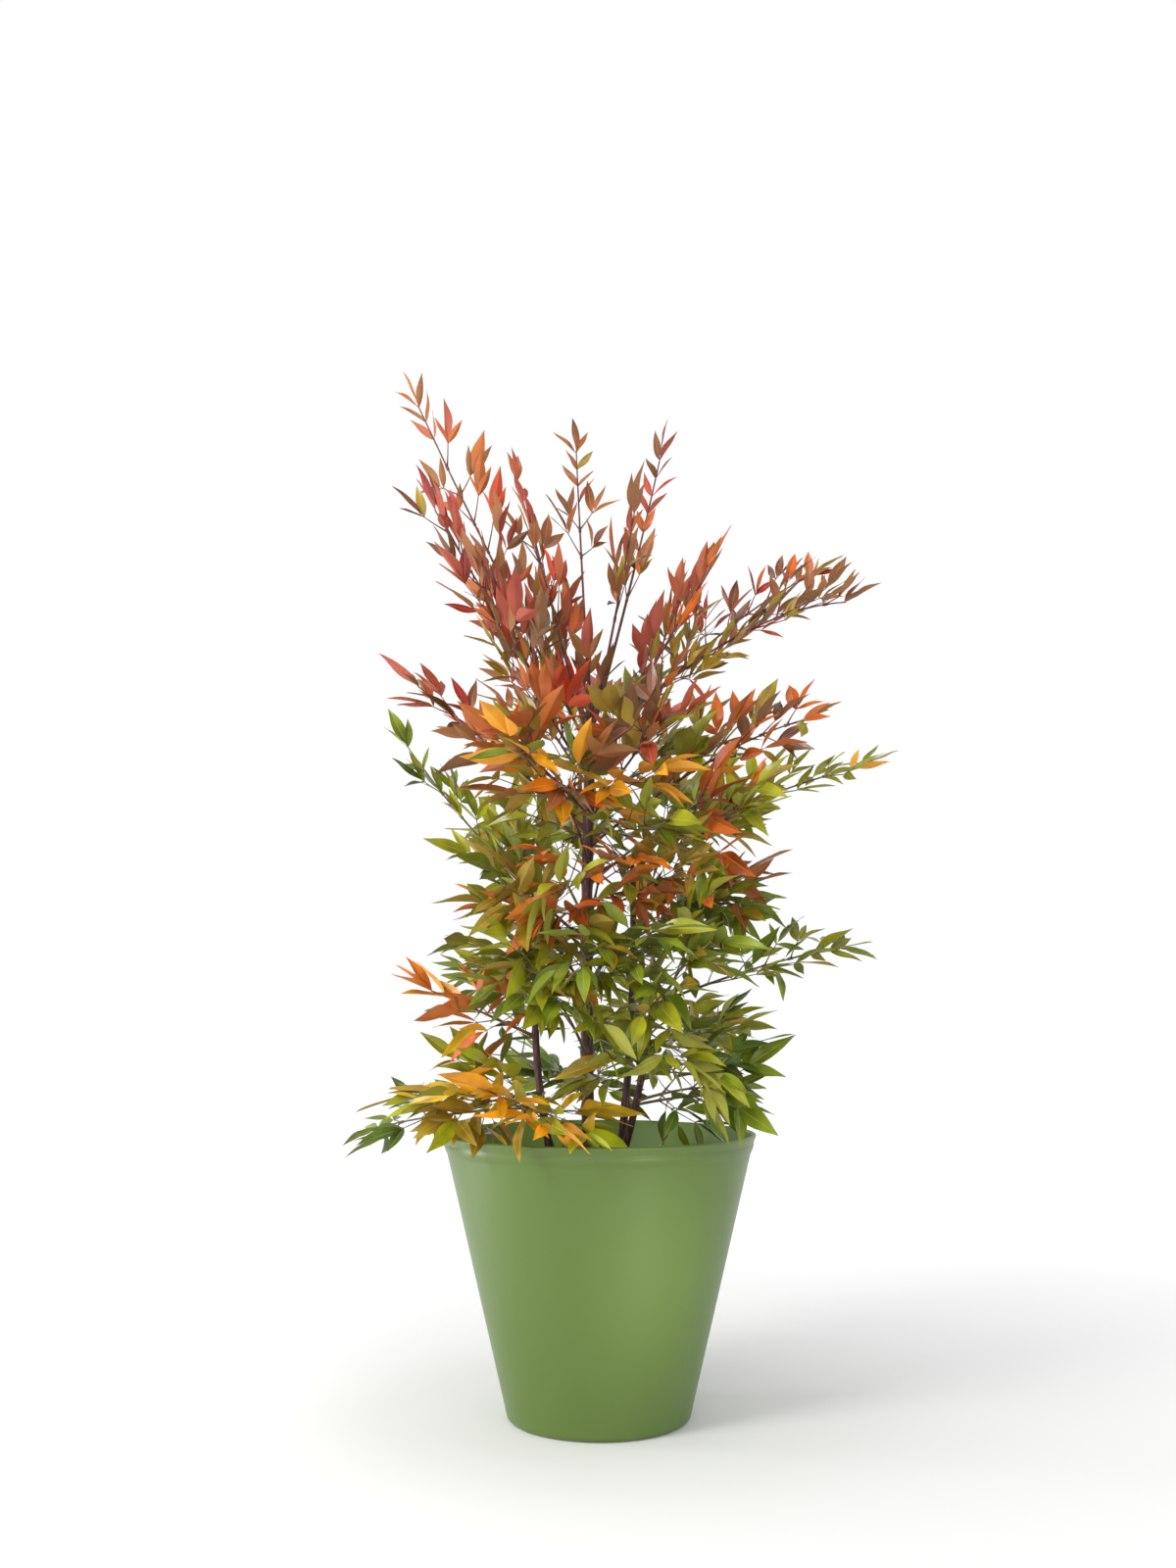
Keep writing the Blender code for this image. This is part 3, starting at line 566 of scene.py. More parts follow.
def turned(profile, sides, relief=None):
    """A body turned about Z from (radius, height) points, from the axis below to the axis above."""
    points = []
    for radius, height in profile[1:-1]:
        for j in range(sides):
            point = polar(radius, math.tau * j / sides, height)
            points.append(relief(point) if relief else point)
    ends = [Vector((0.0, 0.0, profile[0][1])), Vector((0.0, 0.0, profile[-1][1]))]
    points += [relief(end) if relief else end for end in ends]
    skin = Skin()
    skin.add(points, closed_faces(len(profile) - 2, sides))
    return skin


def pot_radius(height):
    """The planter's outer radius at a height."""
    return POT_FOOT_RADIUS + (POT_RIM_RADIUS - POT_FOOT_RADIUS) * height / POT_HEIGHT


def arc(centre, radius, first, last, count):
    """Points of a profile round a corner, from one angle to another in degrees."""
    angles = [math.radians(first + (last - first) * i / count) for i in range(count + 1)]
    return [(centre[0] + radius * math.cos(a), centre[1] + radius * math.sin(a)) for a in angles]


def pot_profile():
    """The planter from the middle of its underside, up its outside, over the rim and down to its floor."""
    lip = pot_radius(POT_HEIGHT) + POT_LIP_PROUD
    half = POT_WALL / 2
    band = POT_HEIGHT - POT_LIP_BAND
    ring = POT_HEIGHT - POT_RING_BELOW_RIM
    foot = pot_radius(POT_FOOT_ROUND) - POT_FOOT_ROUND
    profile = [(0.0, 0.0), (foot * 0.5, 0.0)]
    profile += arc((foot, POT_FOOT_ROUND), POT_FOOT_ROUND, -90, POT_WALL_TILT, 7)
    for i in range(1, POT_ROWS + 1):
        height = POT_FOOT_ROUND + (band - POT_LEDGE_ROOM - POT_FOOT_ROUND) * i / POT_ROWS
        profile.append((pot_radius(height), height))
    profile += [(pot_radius(band) + POT_LIP_PROUD * proud, band + rise) for proud, rise in POT_LEDGE]
    for share in (0.2, 0.4):
        height = band + (POT_LIP_BAND - POT_RING_BELOW_RIM) * share
        profile.append((pot_radius(height) + POT_LIP_PROUD, height))
    profile += [(pot_radius(ring) + POT_LIP_PROUD * proud, ring + rise) for proud, rise in POT_RING]
    under_rim = pot_radius(POT_HEIGHT - half) + POT_LIP_PROUD - POT_RIM_DRAW
    profile.append((under_rim, POT_HEIGHT - half * POT_RIM_START))
    profile += arc((lip - half, POT_HEIGHT - half), half, 0, 180, 10)
    inside = lip - POT_WALL
    for share in (0.1, 0.3, 0.5, 0.7, 0.9):
        height = POT_HEIGHT - half - (POT_HEIGHT - half - POT_FLOOR - POT_FOOT_ROUND) * share
        profile.append((inside - (pot_radius(POT_HEIGHT) - pot_radius(height)), height))
    corner = pot_radius(POT_FLOOR + POT_FOOT_ROUND) - POT_WALL - POT_FOOT_ROUND
    profile += arc((corner, POT_FLOOR + POT_FOOT_ROUND), POT_FOOT_ROUND, POT_WALL_TILT, -90, 5)
    profile.append((0.0, POT_FLOOR))
    return profile


def make_pot():
    """The planter, its inside painted paler: painted light that stands in for light coming through its thin
    wall.
    """
    profile = pot_profile()
    skin = turned(profile, POT_SIDES)
    rim = max(range(len(profile)), key=lambda i: profile[i][1])
    slots = [int(k > rim) for k in range(len(profile) - 3) for _ in range(POT_SIDES)]
    slots += [0] * POT_SIDES + [1] * POT_SIDES
    # The inner faces get a paler copy of the same plastic: painted light for light through the thin wall
    materials = [pot_material("planter", 1.0), pot_material("planter_inside", INSIDE_PAINTED_LIGHT)]
    skin.as_piece("planter", materials, "pot", ["pot"], slots)
    return skin


def soil_height(x, y):
    """The soil's surface: a low mound round the canes, rough at several scales."""
    edge = pot_radius(SOIL_EDGE) - POT_WALL - 2 * CLEAR
    radius = math.hypot(x, y)
    share = min(1.0, max(0.0, (radius - SOIL_FLAT_RADIUS) / (edge - SOIL_FLAT_RADIUS)))
    rough = sum(weight * noise.noise(Vector((x * fine, y * fine, z))) for fine, z, weight in SOIL_NOISE)
    return SOIL_TOP - SOIL_MOUND * share - SOIL_ROUGHNESS * (0.5 - 0.5 * rough)


def make_soil():
    """The soil with its rough top, 0.3 mm clear of the planter's wall, as in the CAD."""
    floor = POT_FLOOR + CLEAR
    gap = POT_WALL + 2 * CLEAR
    edge = pot_radius(SOIL_EDGE) - gap
    low = floor + POT_FOOT_ROUND
    profile = [(0.0, floor), (pot_radius(floor) - POT_FOOT_ROUND - gap, floor), (pot_radius(low) - gap, low)]
    for i in range(1, SOIL_ROWS + 1):
        height = low + (SOIL_EDGE - SOIL_ROW_ROOM - low) * i / SOIL_ROWS
        profile.append((pot_radius(height) - gap, height))
    profile += [(edge * (1 - i / SOIL_RINGS), SOIL_EDGE) for i in range(SOIL_RINGS)]
    profile.append((0.0, SOIL_EDGE))

    def relief(point):
        if point.z < SOIL_EDGE - SOIL_ROW_ROOM / 2:
            return point
        return Vector((point.x, point.y, soil_height(point.x, point.y)))

    skin = turned(profile, SOIL_SIDES, relief)
    skin.as_piece("soil_bed", [soil_material("soil", 1.0)], "soil", ["soil"])
    return skin


def make_crumbs():
    """Loose crumbs and bits of bark that lie on the soil."""
    rng = random.Random(SEED)
    reach = pot_radius(SOIL_EDGE) - POT_WALL - CRUMB_WALL_ROOM
    corners = []
    for j in range(CRUMB_CORNERS):
        angle = math.tau * j / CRUMB_CORNERS
        corners.append((math.cos(angle), math.sin(angle), CRUMB_ZIGZAG * (-1) ** j))
    corners += [(0, 0, 1), (0, 0, -1)]
    pairs = [(j, (j + 1) % CRUMB_CORNERS) for j in range(CRUMB_CORNERS)]
    faces = [[a, b, CRUMB_CORNERS] for a, b in pairs] + [[b, a, CRUMB_CORNERS + 1] for a, b in pairs]
    skin = Skin()
    for _ in range(CRUMBS):
        radius, angle = reach * math.sqrt(rng.random()), rng.uniform(0, math.tau)
        x, y = radius * math.cos(angle), radius * math.sin(angle)
        if any(math.hypot(x - cane.foot[0], y - cane.foot[1]) < CRUMB_CANE_ROOM for cane in CANES):
            continue
        size = CRUMB_SIZES[0] + (CRUMB_SIZES[1] - CRUMB_SIZES[0]) * rng.random() ** 3
        shape = Vector([rng.uniform(*span) for span in CRUMB_SHAPES]) * size / 2
        turn = Matrix.Rotation(rng.uniform(0, math.tau), 3, "Z")
        turn = turn @ Matrix.Rotation(rng.uniform(-CRUMB_TILT, CRUMB_TILT), 3, "X")
        middle = Vector((x, y, soil_height(x, y) + shape.z * 0.5))
        points = []
        for corner in corners:
            jitter = rng.uniform(*CRUMB_JITTER)
            points.append(middle + turn @ Vector([c * s * jitter for c, s in zip(corner, shape)]))
        skin.add(points, faces)
    skin.as_piece("soil_crumbs", [soil_material("soil_crumbs", 1.5)], "soil", ["soil"])


def cane_point(cane, height):
    """The middle of a cane at a height."""
    share = (height - SOIL_TOP) / (cane.top[2] - SOIL_TOP)
    bulge = 4 * share * (1 - share)
    x = cane.foot[0] + (cane.top[0] - cane.foot[0]) * share + cane.bow[0] * bulge
    y = cane.foot[1] + (cane.top[1] - cane.foot[1]) * share + cane.bow[1] * bulge
    return Vector((x, y, height))


def cane_radius(cane, height):
    share = (height - SOIL_TOP) / (cane.top[2] - SOIL_TOP)
    flare = 1 + CANE_FLARE * max(0.0, 1 - (height - SOIL_TOP) / CANE_FLARE_HEIGHT)
    return (cane.foot_radius + (cane.top_radius - cane.foot_radius) * share) * flare


def sheath(height, foot):
    """How far a frond's base wraps round its cane: a swell from below that ends in a rim."""
    below = (foot + SHEATH_ABOVE - height) / SHEATH_LENGTH
    if below < 0:
        return max(0.0, 1 + below * SHEATH_RIM)
    return max(0.0, 1 - below) ** SHEATH_EASE


def make_cane(cane):
    """A cane with furrowed bark, old leaf scars and the sheaths of its fronds."""
    rng = random.Random(cane.name)
    feet = [frond.height for frond in FRONDS if frond.cane == cane.name]
    scars = []
    height = SOIL_TOP + SCAR_STEP
    while height < cane.top[2] - CANE_BUD:
        scars.append(height)
        height += SCAR_STEP * rng.uniform(0.7, 1.3)
    foot = SOIL_TOP - SOIL_ROUGHNESS
    count = round((cane.top[2] - foot) / CANE_STEP)
    heights = [foot + (cane.top[2] - foot) * k / count for k in range(count + 1)]
    radii = []
    for height in heights:
        swell = SHEATH_SWELL * max(sheath(height, f) for f in feet)
        swell = max(swell, SCAR_SWELL * max(math.exp(-(((height - s) / SCAR_HALF) ** 2)) for s in scars))
        bud = min(1.0, BUD_TIP + (1 - BUD_TIP) * (cane.top[2] - height) / CANE_BUD)
        radii.append(cane_radius(cane, max(height, SOIL_TOP)) * (1 + swell) * bud)

    def relief(angle, k):
        x, y = math.cos(angle) * KNOT_ROUND, math.sin(angle) * KNOT_ROUND
        length = heights[k] * FURROW_LONG + cane.foot[0] * FURROW_SHIFT
        furrow = noise.noise(Vector((x * FURROW_ROUND, y * FURROW_ROUND, length)))
        knots = noise.noise(Vector((x, y, heights[k] * KNOT_LONG)))
        low = max(0.0, 1 - (heights[k] - SOIL_TOP) / (2 * CANE_FLARE_HEIGHT))
        ridges = RIDGE_RELIEF * low * math.sin(RIDGES * angle + cane.foot[0] * RIDGE_SHIFT)
        return CANE_RELIEF * (furrow + KNOT_SHARE * knots) + ridges

    skin = Skin()
    skin.add_tube([cane_point(cane, height) for height in heights], radii, CANE_SIDES, relief)
    return skin


def make_canes():
    bark = bark_material()
    skins = [make_cane(cane) for cane in CANES]
    for cane, skin in zip(CANES, skins):
        skin.as_piece(f"bark_{cane.name}", [bark], "bark", ["cane_" + cane.name])
    return skins


def leaf_length(frond):
    """The mean length of a frond's leaflets, which differ less here than in the CAD."""
    return LEAF_LENGTH * LEAF_SCALES.get(frond.palette, 1.0) * frond.leaf**LEAF_EVEN


def rachis_of(frond):
    """The three control points of a frond's midline, from its cane to the foot of its last leaflet."""
    cane = next(c for c in CANES if c.name == frond.cane)
    middle = cane_point(cane, frond.height)
    tip = Vector(frond.tip)
    outward = Vector((tip.x - middle.x, tip.y - middle.y, 0.0)).normalized()
    start = middle + outward * (cane_radius(cane, frond.height) + LIMB_RADIUS + CLEAR)
    bend = (start + tip) / 2 + UP * frond.arch * (tip - start).length
    last = (tip - bend).normalized()
    return start, bend, tip - last * LEAF_TERMINAL * leaf_length(frond)


def along_rachis(rachis, share):
    """The point and direction at a share of a midline."""
    start, bend, end = rachis
    point = start * (1 - share) ** 2 + bend * 2 * share * (1 - share) + end * share**2
    return point, ((bend - start) * (1 - share) + (end - bend) * share).normalized()


def side_of(direction, roll):
    """The level direction across a limb, turned about the limb by roll."""
    side = direction.cross(UP).normalized()
    return Matrix.Rotation(roll, 3, direction) @ side


def prism(start, end, radius):
    """What stands for a twig where room is tested: the points and faces of a thin prism."""
    turn = (end - start).normalized().to_track_quat("Z", "Y")
    ring = [turn @ polar(radius, angle) for angle in PRISM_ANGLES]
    return [start + r for r in ring] + [end + r for r in ring], [(0, 1, 4, 3), (1, 2, 5, 4), (2, 0, 3, 5)]


def kite(leaf):
    """What stands for a leaflet where room is tested: its outer part, with room on both sides."""
    across = leaf.normal.cross(leaf.along)
    half = leaf.length * leaf.width / 2
    points = []
    for share, side, lift in KITE:
        rise = abs(side) * half * (leaf.fold - leaf.curl) - leaf.droop * leaf.length * share**2
        point = leaf.base + leaf.along * leaf.length * share + across * half * side
        points.append(point + leaf.normal * (rise + lift * KITE_ROOM))
    return points, [(i, (i + 1) % 4, top) for i in range(4) for top in (4, 5)]


class Plant:
    """The twigs and leaflets grown so far, by place, so that nothing new grows through them."""

    def __init__(self, box, bodies):
        self.low = (*box[0][:2], CROWN_LOWEST)
        self.high = box[1]
        self.bodies = [BVHTree.FromPolygons(skin.points, skin.faces) for skin in bodies]
        self.cells = defaultdict(list)
        self.tubes = []
        self.leaves = defaultdict(list)

    def cells_of(self, points):
        spans = []
        for i in range(3):
            places = [point[i] for point in points]
            spans.append(range(int(min(places) // CELL), int(max(places) // CELL) + 1))
        return list(itertools.product(*spans))

    def stand(self, points, faces):
        tree = BVHTree.FromPolygons(points, faces)
        for cell in self.cells_of(points):
            self.cells[cell].append(tree)

    def claim(self, points, faces):
        """Takes the place of a shape, unless it leaves the box or meets what has grown."""
        if not all(self.low[i] + EDGE < point[i] < self.high[i] - EDGE for point in points for i in range(3)):
            return False
        shape = BVHTree.FromPolygons(points, faces)
        cells = self.cells_of(points)
        near = {id(tree): tree for cell in cells for tree in self.cells[cell]}
        if any(shape.overlap(tree) for tree in (*self.bodies, *near.values())):
            return False
        for cell in cells:
            self.cells[cell].append(shape)
        return True

    def add_tube(self, frond, places, first_radius, last_radius, sides, joint=True):
        """A limb, stem or twig that tapers, with a swollen joint at its root."""
        lengths = [0.0]
        for a, b in zip(places, places[1:]):
            lengths.append(lengths[-1] + (b - a).length)
        radii = []
        for length in lengths:
            radius = first_radius + (last_radius - first_radius) * length / lengths[-1]
            swell = JOINT_SWELL * max(0.0, 1 - length / JOINT_LENGTH) if joint else 0.0
            radii.append(radius * (1 + swell))
        self.tubes.append(Tube(frond, places, radii, sides))


def leaf_at(base, along, normal, frond, scale, lean, rng):
    """A leaflet that leans by the seeded jitter, which is lean times as wide."""
    lift = frond.lift * (DROOP_SHARE if frond.lift < 0 else 1.0)
    pitch = lift + lean * rng.uniform(-PITCH_JITTER, PITCH_JITTER)
    along = (along + UP * pitch).normalized()
    normal = normal + UP * LEAF_LEVEL
    normal = (normal - along * normal.dot(along)).normalized()
    normal = Matrix.Rotation(lean * rng.uniform(-ROLL_JITTER, ROLL_JITTER), 3, along) @ normal
    return Leaf(
        base,
        along,
        normal,
        leaf_length(frond) * scale * (1 + rng.uniform(-LEAF_JITTER, LEAF_JITTER)),
        LEAF_WIDTH * (LEAF_SLIM + LEAF_BROAD * frond.leaf) * rng.uniform(*LEAF_WIDTHS),
        rng.uniform(*LEAF_FOLDS),
        rng.uniform(*LEAF_CURLS),
        rng.uniform(*LEAF_DROOPS) + LEAF_HANG * max(0.0, -frond.lift),
        rng.uniform(-LEAF_TWIST, LEAF_TWIST),
        rng.uniform(0.0, math.tau),
    )


def grow_leaf(plant, frond, tint, point, along_of, normal, scale, rng):
    """One leaflet in the first of several leans that has room. along_of gives its direction for a lean."""
    for lean in LEANS:
        leaf = leaf_at(point, along_of(lean), normal, frond, scale, lean, rng)
        if plant.claim(*kite(leaf)):
            plant.leaves[leaf_tint(frond, tint, rng)].append((frond, leaf))
            return


def grow_pair(plant, frond, tint, point, direction, across, normal, rng):
    """Two opposite leaflets."""
    for side in (-1, 1):

        def along_of(lean):
            angle = LEAFLET_ANGLE + lean * rng.uniform(-ANGLE_JITTER, ANGLE_JITTER)
            return direction * math.cos(angle) + across * side * math.sin(angle)

        grow_leaf(plant, frond, tint, point, along_of, normal, LEAF_SIDE, rng)


def spray_tint(frond, share, rng):
    """The tint of a spray, at a share of the frond's midline."""
    inner = share < INNER_SHARE and rng.random() < INNER_ODDS
    palette = PALETTES[INNER_PALETTES.get(frond.palette, frond.palette) if inner else frond.palette]
    return rng.choices(list(palette), list(palette.values()))[0]


def leaf_tint(frond, tint, rng):
    """Most leaflets of a spray keep its tint, and the others take another of the frond's palette."""
    return tint if rng.random() < SPRAY_KEEPS else spray_tint(frond, 1.0, rng)


def grow_twig(plant, frond, tint, point, direction, side, sign, length, order, rng):
    """One side twig with its leaflets, or with twiglets where it is long. True where it had room."""
    side = Matrix.Rotation(rng.uniform(-TWIG_ROLL, TWIG_ROLL), 3, direction) @ side
    normal = side.cross(direction)
    for lean in TWIG_LEANS:
        angle = TWIG_ANGLE + lean * TWIG_TURN * rng.uniform(-ANGLE_JITTER, ANGLE_JITTER)
        heading = direction * math.cos(angle) + side * sign * math.sin(angle) + normal * TWIG_CUP
        heading = (heading + UP * frond.lift * TWIG_LIFT).normalized()
        reach = length * (1 + rng.uniform(*TWIG_JITTER))
        end = point + heading * reach + direction * TWIG_BEND * reach
        if plant.claim(*prism(point.lerp(end, TWIG_FREE), end, TWIG_RADII[1])):
            break
    else:
        return False
    bend = (point + end) / 2 - direction * TWIG_CURVE * reach
    line = (point, bend, end)
    places = [along_rachis(line, share)[0] for share in TWIG_STATIONS]
    radii = TWIG_RADII if order == 2 else TWIGLET_RADII
    plant.add_tube(frond, places, *radii, TWIG_SIDES)
    last, ahead = along_rachis(line, 1.0)
    across = ahead.cross(normal).normalized()
    grow_leaf(plant, frond, tint, last, lambda lean: ahead, normal, LEAF_TERMINAL, rng)
    below = LEAFLET_FIRST
    while reach - below > LEAFLET_STEP * TWIG_END_ROOM:
        place, ahead = along_rachis(line, 1 - below / reach)
        twiglet = TWIGLET_SHARE * below
        for turn in (-1, 1):
            long_enough = order == 2 and twiglet > TWIGLET_SHORTEST
            if long_enough and grow_twig(plant, frond, tint, place, ahead, across, turn, twiglet, 3, rng):
                continue
            angle = LEAFLET_ANGLE + rng.uniform(-ANGLE_JITTER, ANGLE_JITTER)
            out = ahead * math.cos(angle) + across * turn * math.sin(angle)
            grow_leaf(plant, frond, tint, place, lambda lean: out, normal, LEAF_SIDE, rng)
        below += LEAFLET_STEP * frond.leaf**LEAF_EVEN
    return True


def stem_places(rachis, first, last, count):
    return [along_rachis(rachis, first + (last - first) * i / count)[0] for i in range(count + 1)]


def grow_stems(plant):
    """Every frond's midline. Its bare share is a bough where the CAD has one."""
    boughs = []
    for frond in FRONDS:
        rachis = rachis_of(frond)
        start, direction = along_rachis(rachis, 0.0)
        sunk = start - direction * LIMB_SUNK
        if frond.name in BOUGHS:
            places = [sunk] + stem_places(rachis, 0.0, frond.bare, BOUGH_ROWS)
            boughs.append(Tube(frond, places, None, BOUGH_SIDES))
            places = stem_places(rachis, frond.bare, 1.0, STEM_ROWS)
            plant.add_tube(frond, places, STEM_RADIUS, STEM_END_RADIUS, STEM_SIDES, joint=False)
        else:
            places = [sunk] + stem_places(rachis, 0.0, 1.0, LIMB_ROWS)
            plant.add_tube(frond, places, LIMB_RADIUS, STEM_END_RADIUS, STEM_SIDES)
        places = stem_places(rachis, 0.0, 1.0, STEM_ROOM_ROWS)
        for a, b in zip(places, places[1:]):
            plant.stand(*prism(a, b, STEM_END_RADIUS))
    return boughs


def grow_frond(plant, frond):
    """Side twigs along a frond's midline, then leaflets where twigs would be too short."""
    rng = random.Random(SEED + SEED_STEP * FRONDS.index(frond))
    rachis = rachis_of(frond)
    length = (rachis[1] - rachis[0]).length + (rachis[2] - rachis[1]).length
    shorter = SOLID_LEAF_LENGTH * frond.leaf - leaf_length(frond)
    reach = frond.spread * (length + leaf_length(frond)) + shorter
    roll = math.radians(frond.roll)
    share = frond.bare
    while (1 - share) * length > LEAFLET_STEP * STEM_END_ROOM:
        point, direction = along_rachis(rachis, share)
        side = side_of(direction, roll)
        twig_length = reach * (1 - TWIG_TAPER * (share - frond.bare) / (1 - frond.bare))
        tint = spray_tint(frond, share, rng)
        if twig_length < TWIG_SHORTEST:
            grow_pair(plant, frond, tint, point, direction, side, side.cross(direction), rng)
            share += LEAFLET_STEP * frond.leaf**LEAF_EVEN / length
            continue
        for sign in (-1, 1):
            grow_twig(plant, frond, tint, point, direction, side, sign, twig_length, 2, rng)
        places = [point - direction * NODE_HALF, point, point + direction * NODE_HALF]
        plant.add_tube(frond, places, *NODE_RADII, STEM_SIDES, joint=False)
        share += TWIG_STEP / length
    tint = spray_tint(frond, 1.0, rng)
    point, direction = along_rachis(rachis, 1 - LEAFLET_FIRST / length)
    side = side_of(direction, roll)
    grow_pair(plant, frond, tint, point, direction, side, side.cross(direction), rng)
    end, direction = along_rachis(rachis, 1.0)
    grow_leaf(plant, frond, tint, end, lambda lean: direction, side.cross(direction), LEAF_TERMINAL, rng)


def blade_faces():
    """One leaflet's faces and slots. Its points are base, tip, upper rows and the lower rows' inner ones."""
    rows, columns = len(LEAF_STATIONS), len(LEAF_ACROSS)
    end = rows - 1

    def upper(k, j):
        return 2 + k * columns + j

    def lower(k, j):
        if j in (0, columns - 1):
            return upper(k, j)
        return 2 + rows * columns + k * (columns - 2) + j - 1

    faces, slots = [], []
    for j in range(columns - 1):
        top = 1 if j == columns // 2 - 1 else 0
        faces += [(0, upper(0, j), upper(0, j + 1)), (0, lower(0, j + 1), lower(0, j))]
        faces += [(1, upper(end, j + 1), upper(end, j)), (1, lower(end, j), lower(end, j + 1))]
        slots += [top, 2, top, 2]
        for k in range(end):
            faces.append((upper(k, j), upper(k + 1, j), upper(k + 1, j + 1), upper(k, j + 1)))
            faces.append((lower(k, j), lower(k, j + 1), lower(k + 1, j + 1), lower(k + 1, j)))
            slots += [top, 2]
    return faces, slots


def blade_points(leaves):
    """The points of many leaflets at once, as an array of (leaflet, point, 3)."""

    def column(name):
        return np.array([getattr(leaf, name) for leaf in leaves], dtype=float)

    base, along, normal = column("base"), column("along"), column("normal")
    across = np.cross(normal, along)
    names = ("length", "width", "fold", "curl", "droop", "twist", "wave")
    length, width, fold, curl, droop, twist, wave = (column(name)[:, None, None] for name in names)
    share = np.array(LEAF_STATIONS)[None, :, None]
    outline = np.array(LEAF_OUTLINE)[None, :, None]
    side = np.array(LEAF_ACROSS)[None, None, :]
    half = length * width / 2 * outline
    rise = half * (fold * np.abs(side) - curl * side**2)
    rise = rise + length * LEAF_WAVE * np.sin(wave + LEAF_WAVES * share) * side**2
    turn = twist * share
    over = half * side * np.cos(turn) - rise * np.sin(turn)
    rise = half * side * np.sin(turn) + rise * np.cos(turn) - droop * length * share**2
    ahead = np.broadcast_to(length * share, over.shape)

    def placed(over, ahead, rise):
        parts = ((over, across), (ahead, along), (rise, normal))
        moved = sum(part.reshape(len(leaves), -1, 1) * axis[:, None, :] for part, axis in parts)
        return base[:, None, :] + moved

    upper = placed(over, ahead, rise)
    deep = LEAF_THICKNESS * (1 - side**2) * (LEAF_THIN + (1 - LEAF_THIN) * outline)
    lower = placed(over[:, :, 1:-1], ahead[:, :, 1:-1], (rise - deep)[:, :, 1:-1])
    tip = placed(np.zeros_like(length), length, -droop * length)
    return np.concatenate([base[:, None, :], tip, upper, lower], axis=1)


def make_leaves(plant):
    """One piece for each tint."""
    faces, slots = blade_faces()
    for tint, grown in sorted(plant.leaves.items()):
        points = blade_points([leaf for _, leaf in grown])
        skin = Skin()
        skin.points = points.reshape(-1, 3).tolist()
        for i in range(len(grown)):
            first = i * points.shape[1]
            skin.faces += [[first + corner for corner in face] for face in faces]
        masses = sorted({"foliage_" + frond.name for frond, _ in grown})
        materials = blade_materials(tint)
        skin.as_piece("leaves_" + tint, materials, TINTS[tint][1], masses, slots * len(grown), LEAF_CREASE)


def make_twigs(plant):
    """Red stalks on the coloured fronds, and green-brown ones on the green fronds."""
    for kind, tones in STALKS.items():
        skin = Skin()
        masses = set()
        for tube in plant.tubes:
            if (tube.frond.palette in REDDISH) == (kind == "red"):
                skin.add_tube(tube.places, tube.radii, tube.sides)
                masses.add("foliage_" + tube.frond.name)
        skin.as_piece("stalks_" + kind, [twig_material("stalk_" + kind, *tones)], "petiole", sorted(masses))


def make_boughs(boughs):
    """The bare limbs, finely furrowed like the canes."""
    skin = Skin()
    for bough in boughs:
        count = len(bough.places) - 1
        radii = [LIMB_RADIUS + (STEM_RADIUS - LIMB_RADIUS) * k / count for k in range(count + 1)]
        radii[: len(BOUGH_FOOT)] = [radii[0] * swell for swell in BOUGH_FOOT]
        shift = BOUGH_SHIFT * FRONDS.index(bough.frond)

        def relief(angle, k):
            x, y = math.cos(angle) * BOUGH_ROUND, math.sin(angle) * BOUGH_ROUND
            return BOUGH_RELIEF * noise.noise(Vector((x, y, k * BOUGH_LONG + shift)))

        skin.add_tube(bough.places, radii, bough.sides, relief)
    material = twig_material("bough_bark", *BOUGH_BARK)
    skin.as_piece("boughs", [material], "petiole", ["bough_" + name for name in BOUGHS])


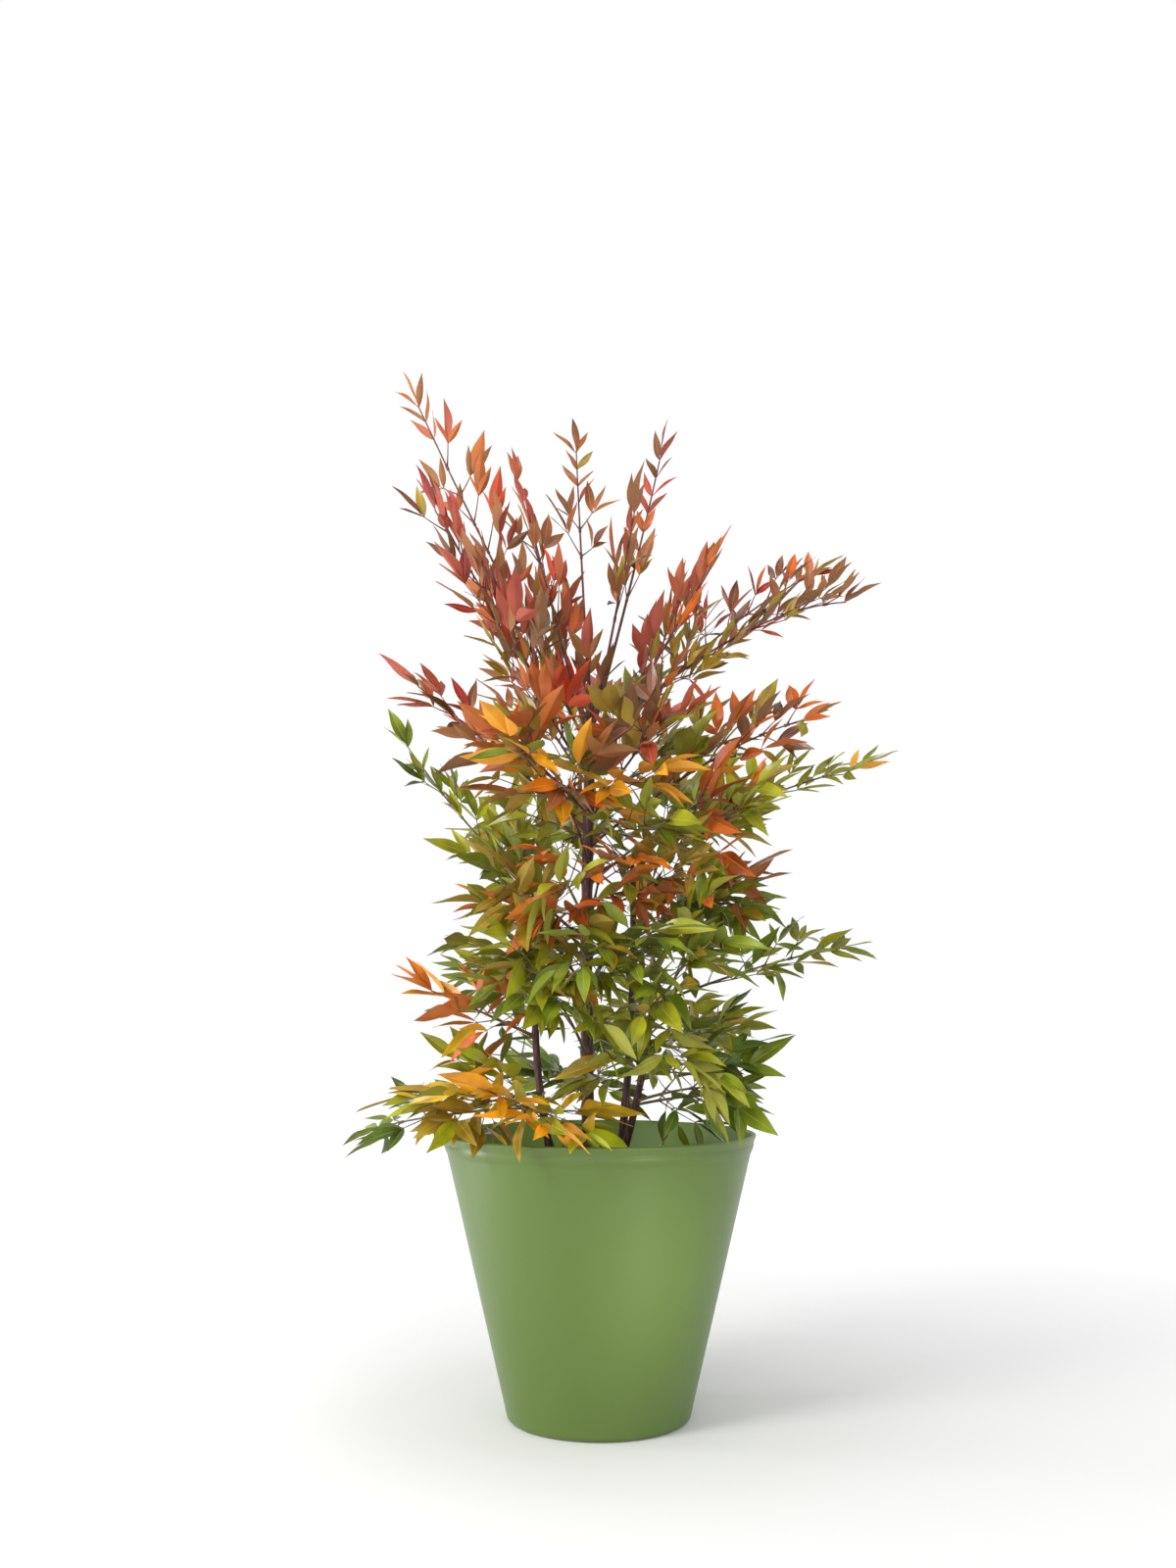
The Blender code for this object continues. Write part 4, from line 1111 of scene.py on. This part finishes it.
def make_stage():
    """A wide pale floor that glows a little further out, so that it meets the studio with no line."""
    material, tree, shader = finish("studio_paper", roughness=0.85)
    stops = ((0.3, (0.90, 0.90, 0.90)), (0.7, (0.92, 0.92, 0.92)))
    paint(tree, shader, grain(tree, scale=1.5, detail=2.0), stops)
    place = tree.nodes.new("ShaderNodeTexCoord")
    reach = tree.nodes.new("ShaderNodeVectorMath")
    reach.operation = "LENGTH"
    tree.links.new(place.outputs["Object"], reach.inputs[0])
    glow = tree.nodes.new("ShaderNodeMapRange")
    glow.inputs["From Min"].default_value, glow.inputs["From Max"].default_value = GLOW_REACH
    glow.inputs["To Max"].default_value = FLOOR_GLOW
    tree.links.new(reach.outputs["Value"], glow.inputs["Value"])
    shader.inputs["Emission Color"].default_value = (*WHITE, 1.0)
    tree.links.new(glow.outputs["Result"], shader.inputs["Emission Strength"])
    points = [Vector()] + [polar(FLOOR_RADIUS, math.tau * j / FLOOR_SIDES) for j in range(FLOOR_SIDES)]
    faces = [(0, 1 + j, 1 + (j + 1) % FLOOR_SIDES) for j in range(FLOOR_SIDES)]
    add_mesh("studio_floor", points, faces, [material])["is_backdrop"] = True


def add_light(name, place, target, size, power, colour, spread):
    """An area light aimed at its target."""
    light = bpy.data.lights.new(name, "AREA")
    light.shape = "RECTANGLE"
    light.size, light.size_y = size
    light.energy = power
    light.color = colour
    light.spread = math.radians(spread)
    made = bpy.data.objects.new(name, light)
    made.location = place
    made.rotation_euler = (Vector(target) - Vector(place)).to_track_quat("-Z", "Y").to_euler()
    made.visible_camera = False
    bpy.context.scene.collection.objects.link(made)


def make_lights():
    """Soft lamps from the left, the front and above, and a studio that is white below and grey overhead."""
    for lamp in LIGHTS:
        add_light(*lamp)
    world = bpy.data.worlds.new("studio")
    world.use_nodes = True
    tree = world.node_tree
    place = tree.nodes.new("ShaderNodeTexCoord")
    height = tree.nodes.new("ShaderNodeSeparateXYZ")
    tree.links.new(place.outputs["Generated"], height.inputs["Vector"])
    background = tree.nodes["Background"]
    tree.links.new(ramp(tree, height.outputs["Z"], SKY), background.inputs["Color"])
    background.inputs["Strength"].default_value = 1.0
    bpy.context.scene.world = world


def make_camera():
    """The photograph's view: level with the crown's lower half, 1.7 m from the planter's axis."""
    camera = bpy.data.cameras.new("camera")
    camera.sensor_width = CAMERA_SENSOR
    camera.lens = CAMERA_SENSOR * FOCAL_PIXELS / PHOTO_HEIGHT
    camera.shift_y = SHIFT_PIXELS / PHOTO_HEIGHT
    made = bpy.data.objects.new("camera", camera)
    made.location = CAMERA_PLACE
    made.rotation_euler = (math.radians(90), 0.0, 0.0)
    bpy.context.scene.collection.objects.link(made)
    bpy.context.scene.camera = made
    bpy.context.scene.view_settings.view_transform = "Standard"


def main():
    cad_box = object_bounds()
    canes, soil, pot = make_canes(), make_soil(), make_pot()
    plant = Plant(cad_box, [*canes, soil, pot])
    boughs = grow_stems(plant)
    for frond in FRONDS:
        grow_frond(plant, frond)
    make_boughs(boughs)
    make_leaves(plant)
    make_twigs(plant)
    make_crumbs()
    make_stage()
    make_lights()
    make_camera()


main()
